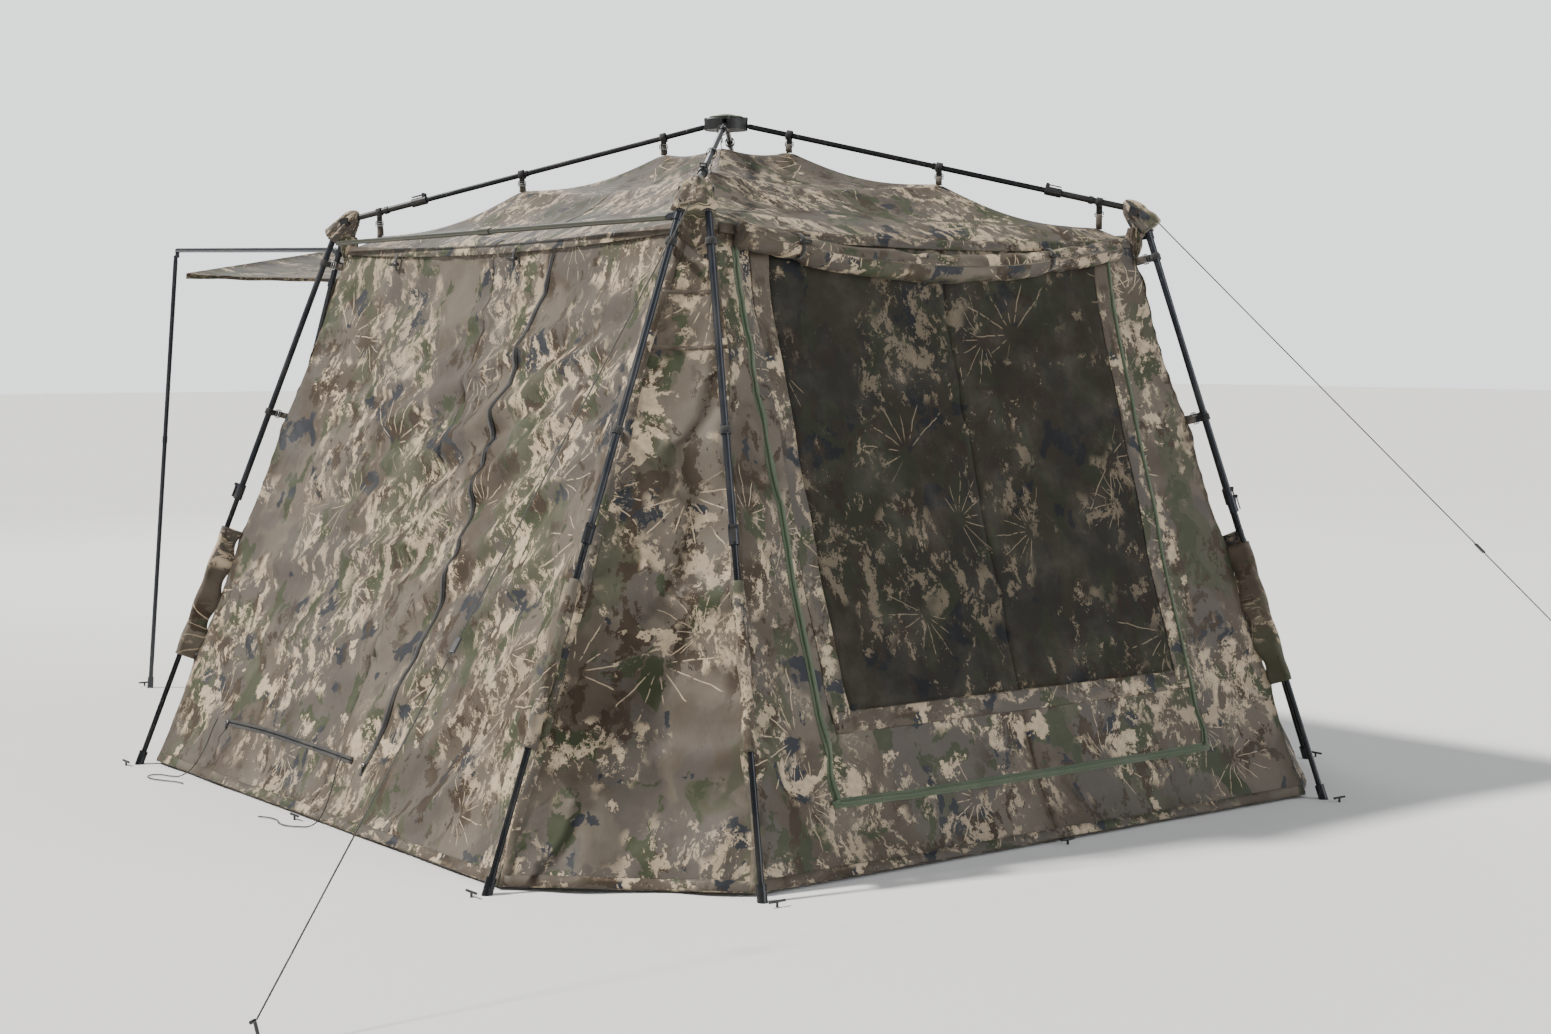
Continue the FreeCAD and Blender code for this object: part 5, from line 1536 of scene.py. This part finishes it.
class BLIND_OT_window(bpy.types.Operator):
    """Make the window's piping, tapes and the rolled flap with its toggles"""

    bl_idname = "blind.window"
    bl_label = "Window Trim"

    def execute(self, context):
        surface = SURFACES["front"]
        outside = OUTSIDE["front"]
        half, low, high = OPENINGS["front"]
        sizes = context.scene.blind_sizes
        for sign in (-1, 1):
            x = sign * (half + 0.030)
            line = [(x, high), (x, (high + low) / 2), (x, low - 0.03)]
            strip = strip_on(f"window_edge_{sign}", surface, line, outside, 0.066, cloth_finish())
            attach_wall(strip, "front")
        sill = strip_on("window_sill", surface, [(-half - 0.06, low - 0.030), (0, low - 0.030),
                                                 (half + 0.06, low - 0.030)], outside, 0.060, cloth_finish())
        attach_wall(sill, "front")
        points, normals = surface.path(WINDOW_FRAME, outside, sizes.piping * 0.45, 0.012)
        piping = pipe("window_piping", points, sizes.piping / 2, woven_finish("olive tape"), 10, normals)
        attach_wall(piping, "front")
        tape = strip_on("window_tape", surface, WINDOW_FRAME, outside, 0.026, woven_finish("olive tape"),
                        0.0012, 0.0010)
        attach_wall(tape, "front")
        outer = [(x + math.copysign(0.016, x) if z > 0.21 else x, z - (0.016 if z < 0.21 else 0))
                 for x, z in WINDOW_FRAME]
        mesh_edge = [(-half - 0.004, high), (-half - 0.004, low - 0.004), (half + 0.004, low - 0.004),
                     (half + 0.004, high)]
        lines = [outer, mesh_edge[:2], mesh_edge[1:3], mesh_edge[2:]]
        sewn = stitches_on("window_stitches", surface, lines, outside)
        attach_wall(sewn, "front")
        self.flap_roll()
        return {"FINISHED"}

    def flap_roll(self):
        """Make the rolled flap: it hangs between its toggles, thicker and lumpier where it is loose."""
        length = ROLL_HIGH.x - 0.046 - ROLL_LOW.x
        radius = bpy.context.scene.blind_sizes.roll
        toggles = (-0.558, 0.421)
        y = (ROLL_LOW.y + ROLL_HIGH.y) / 2
        path, radii = [], []
        for share in np.linspace(0, 1, 140):
            x = ROLL_LOW.x + 0.004 + share * (length - 0.008)
            hang = 1 - ((x - (ROLL_LOW.x + ROLL_HIGH.x) / 2) / (length / 2)) ** 2
            near = sum(math.exp(-((x - place) / 0.035) ** 2) for place in toggles)
            lump = (0.0035 * noise.noise(Vector((x * 9, 1.3, 0)))
                    + 0.003 * noise.noise(Vector((x * 21, 4.3, 0))))
            path.append(Vector((x, y + 0.004 * math.sin(x * 6), ROLL_HIGH.z - radius - 0.004 - 0.078 * hang
                                + 0.010 * near * hang)))
            radii.append(radius * (0.97 - 0.20 * near + 0.10 * hang) + lump - 0.002)
        rings, uvs = [], []
        count = 56
        travelled = 0.0
        for index, (point, way) in enumerate(zip(path, path_ways(path))):
            if index:
                travelled += (point - path[index - 1]).length
            side = away_from(Vector((0, -1, 0)), way)
            other = way.cross(side)
            ring = []
            for step in range(count):
                turn = 2 * math.pi * step / count
                edge = (turn / (2 * math.pi) + 0.12 * math.sin(travelled * 3.2) + 0.62) % 1.0
                wrap = 0.0085 * edge ** 6
                crease = 0.0022 * math.sin(turn * 3 + travelled * 26 + 2 * math.sin(travelled * 9))
                reach = radii[index] + wrap + crease
                ring.append(point + side * (math.cos(turn) * reach) + other * (math.sin(turn) * reach * 1.04))
                uvs.append((turn * radius + 7.3, travelled))
            rings.append(ring)
        roll = loft("flap_roll", rings, cloth_finish(), uvs)
        for half in attach_wall(roll, "front"):
            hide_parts("front_flap_roll")
        for index, place in enumerate(toggles):
            nearest = min(path, key=lambda point: abs(point.x - place))
            loop = webbing_loop(f"roll_loop_{index}", nearest, Vector((1, 0, 0)), radius * 0.97, 0.013,
                                woven_finish("black tape"))
            barrel = pipe(f"roll_toggle_{index}", [nearest + Vector((-0.019, -radius - 0.004, 0.012)),
                                                   nearest + Vector((0.019, -radius - 0.004, 0.012))], 0.0055,
                          hard_finish("moulded black nylon"), 12)
            both = join_things(f"roll_tie_{index}", [loop, barrel])
            corner = "front_left" if place < 0 else "front_right"
            shown_with(both, LEGS[corner, "end"].body, wall_squash(corner, "end"))


LEFT_ZIP = ((-0.357, 1.697), (-0.290, 1.47), (-0.243, 1.249), (-0.262, 1.00), (-0.283, 0.781), (-0.235, 0.45),
            (-0.172, 0.165))
LEFT_SILL_ZIP = ((0.780, 0.196), (0.50, 0.203), (0.20, 0.200), (-0.100, 0.196))


class BLIND_OT_left_door(bpy.types.Operator):
    """Make the left wall's door: its standing zip, its low zip and the toggles under the eave"""

    bl_idname = "blind.left_door"
    bl_label = "Left Door"

    def execute(self, context):
        surface = SURFACES["left"]
        outside = OUTSIDE["left"]
        tall = [(HUB.y + y, z) for y, z in LEFT_ZIP]
        flat = [(HUB.y + y, z) for y, z in LEFT_SILL_ZIP]
        standing = zip_on("door_zip", surface, tall, outside, 0.985)
        attach_wall(standing, "left")
        low = zip_on("door_low_zip", surface, flat, outside, 0.03)
        attach_wall(low, "left")
        lines = [[(y + shift, z) for y, z in tall] for shift in (-0.017, 0.017)]
        lines += [[(y, z + shift) for y, z in flat] for shift in (-0.015, 0.015)]
        attach_wall(stitches_on("door_stitches", surface, lines, outside), "left")
        for index, y in enumerate((0.599, -0.152)):
            centre = surface.at(HUB.y + y, 1.692) + Vector((-0.010, 0, 0.002))
            steps = ((0, 0, 0.028), (-0.006, 0, 0.010), (-0.008, 0, -0.028))
            drape = [centre + Vector(step) for step in steps]
            band = ribbon(f"door_loop_{index}", drape, [Vector((-1, 0, 0))] * 3, 0.016, 0.0016,
                          woven_finish("black tape"))
            barrel = pipe(f"door_toggle_{index}", [centre + Vector((-0.013, -0.024, -0.006)),
                                                   centre + Vector((-0.013, 0.024, -0.006))], 0.0055,
                          hard_finish("moulded black nylon"), 12)
            piece = join_things(f"door_tie_toggle_{index}", [band, barrel])
            corner = "rear_left" if y > 0 else "front_left"
            shown_with(piece, LEGS[corner, "side"].body, wall_squash(corner, "side"))
        return {"FINISHED"}


HEM_BAND = 0.030
DOORWAY_HEM = 0.56


class BLIND_OT_seams(bpy.types.Operator):
    """Make the taped seams, the hem bands, the eave seams and their rows of stitches"""

    bl_idname = "blind.seams"
    bl_label = "Seams and Hems"

    def execute(self, context):
        hem = hem_place()
        for side in SIDES:
            surface, outside = SURFACES[side], OUTSIDE[side]
            start, stop = surface.across[-1][0] + 0.01, surface.across[-1][-1] - 0.01
            spans = [(start, -DOORWAY_HEM), (DOORWAY_HEM, stop)] if side == "rear" else [(start, stop)]
            for index, (first, last) in enumerate(spans):
                name = f"{side}_{index}" if side in ("front", "rear") else side
                line = [(first, hem), ((first + last) / 2, hem), (last, hem)]
                attach_wall(strip_on("hem_" + name, surface, line, outside, HEM_BAND, cloth_finish()), side)
                upper = [(x, z + 0.013) for x, z in line]
                attach_wall(stitches_on("hem_stitches_" + name, surface, [upper], outside), side)
        for corner, (sign_x, sign_y) in CORNERS.items():
            self.corner_seams(corner, Vector((sign_x, sign_y, 0.4)))
        for side in SIDES:
            self.eave(side)
        return {"FINISHED"}

    def corner_seams(self, corner, outside):
        """Tape both long seams of a corner panel and sew its cross seams."""
        sizes = bpy.context.scene.blind_sizes
        surface = SURFACES[corner]
        parts = []
        heights = np.linspace(SKIN_LOW.z - 0.01, sizes.hem_height + 0.004, 24)
        for sign in (-1, 1):
            line = []
            for height in heights:
                reach = surface.row_at(height)
                middle, half = (reach[0] + reach[-1]) / 2, (reach[-1] - reach[0]) / 2
                line.append((middle + sign * max(0.0, half - sizes.seam_width * 0.55), height))
            parts.append(strip_on(f"seam_{corner}_{sign}", surface, line, outside, sizes.seam_width,
                                  cloth_finish()))
            inner = [(x - sign * sizes.seam_width * 0.38, z) for x, z in line]
            parts.append(stitches_on(f"seam_stitches_{corner}_{sign}", surface, [inner, line], outside))
        for height in (1.56, 1.41):
            reach = surface.row_at(height)
            line = [(reach[0], height), (reach[12], height), (reach[-1], height)]
            parts.append(strip_on(f"cross_seam_{corner}_{height}", surface, line, outside, 0.012,
                                  cloth_finish()))
            parts.append(stitches_on(f"cross_stitches_{corner}_{height}", surface, [line], outside))
        hem = hem_place()
        reach = surface.row_at(hem)
        line = [(reach[0] + 0.01, hem), ((reach[0] + reach[-1]) / 2, hem), (reach[-1] - 0.01, hem)]
        parts.append(strip_on(f"corner_hem_{corner}", surface, line, outside, HEM_BAND, cloth_finish()))
        joined = join_things(f"corner_seams_{corner}", parts)
        shown_with(joined, LEGS[corner, "side"].body, corner_squash(corner))

    def eave(self, side):
        """Bind the eave where the roof meets the wall: a cloth band with two rows of stitches."""
        outside = Vector((*OUTSIDE[side].xy, 0.5)).normalized()
        places = np.linspace(0.01, 0.99, 80)
        points = [eave_point(side, share) + outside * 0.004 for share in places]
        normals = [outside] * len(points)
        band = ribbon(f"eave_{side}", points, normals, 0.034, 0.0020, cloth_finish(), 0.8)
        rows = []
        for shift in (-0.011, 0.011):
            way = away_from(UP, outside)
            rows.append(([point + way * shift + outside * 0.0035 for point in points], normals))
        sewn = pieces_on_paths(f"eave_stitches_{side}", rows, 0.0085, (0.005, 0.0012, 0.0010),
                               woven_finish("olive thread"))
        joined = join_things(f"eave_band_{side}", [band, sewn])
        attach_wall(joined, side)


def hem_place():
    """Return the height of the middle of the hem band."""
    return bpy.context.scene.blind_sizes.hem_height + 0.016


# ---------------------------------------------------------------- awning

class BLIND_OT_awning(bpy.types.Operator):
    """Make the awning sheet with its front edge"""

    bl_idname = "blind.awning"
    bl_label = "Awning"

    def execute(self, context):
        rows, columns = [], 46
        start_y, end_y = SHEET_LOW.y + 0.004, SHEET_HIGH.y - 0.006
        for share in np.linspace(0, 1, 46):
            y = start_y + share * (end_y - start_y)
            z = self.height(share)
            row = np.linspace(self.edge(share, -1), self.edge(share, 1), columns)
            line = []
            for index, x in enumerate(row):
                part = index / (columns - 1)
                hang = 4 * part * (1 - part)
                sag = -0.016 * hang * math.sin(math.pi * min(1.0, share * 1.02))
                wave = 0.006 * ripple((x, y), 0.16, 31) * min(1.0, hang * 3)
                line.append((x, y, z + sag + wave))
            rows.append((row, y + 6.0, line))
        surface = Surface(rows)
        settle_surface("awning_cloth", surface, held_edges(surface.across.shape), 14, 0.008, 0.012)
        sheet_piece = surface_sheet("awning_cover", surface, (0, 0, 1), cloth_finish())
        halves = split_by(sheet_piece, lambda middle: "left" if middle.x < HUB.x else "right", True)
        for key, half in halves.items():
            shown_with(half, "awning_" + key)
            self.gather(half, -1 if key == "left" else 1)
            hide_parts("awning_sheet")
        self.front_edge(surface)
        return {"FINISHED"}

    def gather(self, thing, sign):
        """Give half of the awning its own copy of its mesh."""
        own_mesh(thing)

    def height(self, share):
        """Return the sheet's height from its root at the rear eave to its front edge."""
        return SHEET_LOW.z + 0.004 + (SHEET_HIGH.z - SHEET_LOW.z - 0.008) * (1 - share)

    def edge(self, share, sign):
        """Return the sheet's side edge at a share of its depth."""
        wide = max(abs(SHEET_LOW.x), abs(SHEET_HIGH.x)) - 0.004
        return sign * (wide - 0.055 * share)

    def front_edge(self, surface):
        """Make the stiffened front edge that hangs below the tips."""
        depth = bpy.context.scene.blind_sizes.valance
        rings = surface.points[-1]
        for key, sign in (("left", -1), ("right", 1)):
            chosen = [Vector(point) for point in rings if point[0] * sign >= -0.02]
            chosen.sort(key=lambda point: point.x)
            points, uvs = [], []
            for level in range(6):
                for point in chosen:
                    drop = depth * level / 5 * 0.35
                    points.append(point + Vector((0, 0.002 + 0.001 * level, -drop)))
                    uvs.append((point.x + 4.0, level * depth / 5))
            faces = [tuple(reversed(face)) for face in grid_faces(6, len(chosen))]
            band = mesh_object(f"awning_edge_{key}", points, faces, cloth_finish(), uvs)
            thicken(band, 0.0024)
            shown_with(band, "awning_" + key)
            self.gather(band, sign)


# ---------------------------------------------------------------- cords and pegs

def twisted_cord(name, points, radius, material, strands=3, pitch=0.012):
    """Make a cord from points: its strands twist around it as low ridges."""
    ways = path_ways(points)
    side = ways[0].orthogonal().normalized()
    rings = []
    count = 9
    travelled = 0.0
    for index, (point, way) in enumerate(zip(points, ways)):
        if index:
            travelled += (point - points[index - 1]).length
        side = away_from(side, way)
        other = way.cross(side)
        ring = []
        for step in range(count):
            turn = 2 * math.pi * step / count
            reach = radius * (1 + 0.10 * math.cos(strands * (turn - travelled / pitch * 2.0)))
            ring.append(point + side * (math.cos(turn) * reach) + other * (math.sin(turn) * reach))
        rings.append(ring)
    return loft(name, rings, material)


def guy_ends(key):
    """Return the two ends of a guy line: at its corner and at its peg."""
    low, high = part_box("guy_line_" + key)
    sign = -1 if key == "left" else 1
    near_x, far_x = (high.x, low.x) if sign < 0 else (low.x, high.x)
    top = Vector((near_x, high.y, high.z - 0.002))
    peg = Vector((far_x - sign * 0.002, low.y + 0.002, low.z + 0.003))
    return top + Vector((sign * 0.001, -0.001, 0)), peg


DOOR_TIES = {
    "rear": ((-1496, 780, 196), (-1517, 777, 160), (-1535, 781, 116), (-1556, 793, 70), (-1579, 812, 30),
             (-1604, 840, 7), (-1624, 876, 4), (-1638, 915, 4), (-1668, 930, 4), (-1690, 902, 4),
             (-1688, 860, 4),
             (-1672, 815, 4), (-1650, 772, 4), (-1640, 730, 4)),
    "front": ((-1496, -110, 196), (-1516, -116, 158), (-1537, -128, 112), (-1560, -138, 66),
              (-1585, -142, 26),
              (-1612, -134, 6), (-1640, -110, 4), (-1660, -74, 4), (-1662, -30, 4), (-1648, 14, 4),
              (-1650, 58, 4),
              (-1670, 98, 4))}


class BLIND_OT_cords(bpy.types.Operator):
    """Make the guy lines and the loose ties of the door"""

    bl_idname = "blind.cords"
    bl_label = "Cords"

    def execute(self, context):
        cord = woven_finish("olive cord")
        for key in ("left", "right"):
            start, end = guy_ends(key)
            points = [start.lerp(end, share) for share in np.linspace(0, 1, 440)]
            line = twisted_cord("guy_cord_" + key, points, 0.002, cord)
            shown_with(line, "root")
            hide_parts("guy_line_" + key)
        for key, places in DOOR_TIES.items():
            path = smooth_path([Vector(place) / 1000 + Vector((HUB.x, HUB.y, 0)) for place in places], 0.006)
            tie = twisted_cord("door_cord_" + key, path, 0.002, cord)
            shown_with(tie, "root")
            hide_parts("door_tie_" + key)
        return {"FINISHED"}


# ---------------------------------------------------------------- stage

class BLIND_OT_stage(bpy.types.Operator):
    """Make the floor, the studio lights and the camera"""

    bl_idname = "blind.stage"
    bl_label = "Stage"

    def execute(self, context):
        camera_data = bpy.data.cameras.new("camera")
        camera_data.sensor_width = 36.0
        camera_data.lens = 53.0
        camera_data.clip_end = 200
        camera = new_object("camera", camera_data)
        azimuth, elevation = math.radians(-37.32), math.radians(4.28)
        back = Vector((math.sin(azimuth) * math.cos(elevation), -math.cos(azimuth) * math.cos(elevation),
                       math.sin(elevation)))
        camera.location = Vector((HUB.x, HUB.y, 0)) + Vector((-4.537, -6.224, 1.411))
        camera.rotation_euler = back.to_track_quat("Z", "Y").to_euler()
        context.scene.camera = camera
        floor_material, tree, shader = FINISHES.start("studio floor", Roughness=0.9, Specular_IOR_Level=0.1)
        vector = tree.add("ShaderNodeTexCoord").outputs["Object"]
        tone = tree.noise(vector, 0.4, 2.0, 0.5)
        tree.link(tree.mix(tone, (0.90, 0.90, 0.895), (0.93, 0.93, 0.925)), shader.inputs["Base Color"])
        size = 60.0
        corners = [(-size, -size, 0), (size, -size, 0), (size, size, 0), (-size, size, 0)]
        floor = mesh_object("studio_floor", corners, [(0, 1, 2, 3)], floor_material, smooth=False)
        world = bpy.data.worlds.new("studio")
        world.use_nodes = True
        background = world.node_tree.nodes["Background"]
        background.inputs["Color"].default_value = (0.96, 0.98, 1.0, 1.0)
        world_tree = Tree(world.node_tree)
        seen = world_tree.add("ShaderNodeLightPath").outputs["Is Camera Ray"]
        strength = world_tree.sum("MULTIPLY_ADD", seen, 1.45, 0.32)
        world_tree.link(strength, background.inputs["Strength"])
        context.scene.world = world
        lights = (("key", "SUN", (-4.5, 2.2, 6.6), 0.08, 5.2, (1.0, 0.97, 0.92)),
                  ("fill", "SUN", (4.0, -7.5, 4.2), 0.6, 1.25, (0.94, 0.97, 1.0)),
                  ("rim", "AREA", (3.0, 8.0, 6.5), 5.0, 260.0, (1.0, 1.0, 1.0)))
        for name, kind, place, extent, power, colour in lights:
            data = bpy.data.lights.new(name, kind)
            if kind == "SUN":
                data.angle = extent
            else:
                data.size = extent
            data.energy = power
            data.color = colour
            lamp = new_object(name, data)
            lamp.location = place
            lamp.rotation_euler = (Vector(place) - Vector((0, HUB.y, 0.9))).to_track_quat("Z", "Y").to_euler()
        return {"FINISHED"}


OPERATORS = [BLIND_OT_stage, BLIND_OT_frame, BLIND_OT_end_walls, BLIND_OT_side_walls, BLIND_OT_corner_panels,
             BLIND_OT_roof, BLIND_OT_window, BLIND_OT_left_door, BLIND_OT_seams, BLIND_OT_straps,
             BLIND_OT_boots,
             BLIND_OT_leg_sleeves, BLIND_OT_awning, BLIND_OT_cords]


class BLIND_PT_panel(bpy.types.Panel):
    """Sizes and colours of the ground blind, and a button for each group of its pieces"""

    bl_idname = "BLIND_PT_panel"
    bl_label = "Ground blind"
    bl_space_type = "VIEW_3D"
    bl_region_type = "UI"
    bl_category = "Blind"

    def draw(self, context):
        for group in (context.scene.blind_sizes, context.scene.blind_colours):
            box = self.layout.box()
            for name in type(group).__annotations__:
                box.prop(group, name)
        for operator in OPERATORS:
            self.layout.operator(operator.bl_idname)


CLASSES = [BlindSizes, BlindColours, *OPERATORS, BLIND_PT_panel]


def register():
    """Register the classes and hang the properties on the scene."""
    for cls in CLASSES:
        bpy.utils.register_class(cls)
    bpy.types.Scene.blind_sizes = bpy.props.PointerProperty(type=BlindSizes)
    bpy.types.Scene.blind_colours = bpy.props.PointerProperty(type=BlindColours)


def unregister():
    """Take the properties off the scene and unregister the classes."""
    del bpy.types.Scene.blind_sizes
    del bpy.types.Scene.blind_colours
    for cls in reversed(CLASSES):
        bpy.utils.unregister_class(cls)


def main():
    """Make every piece in order."""
    register()
    for cls in OPERATORS:
        group, operator = cls.bl_idname.split(".")
        getattr(getattr(bpy.ops, group), operator)()


if __name__ == "__main__":
    main()
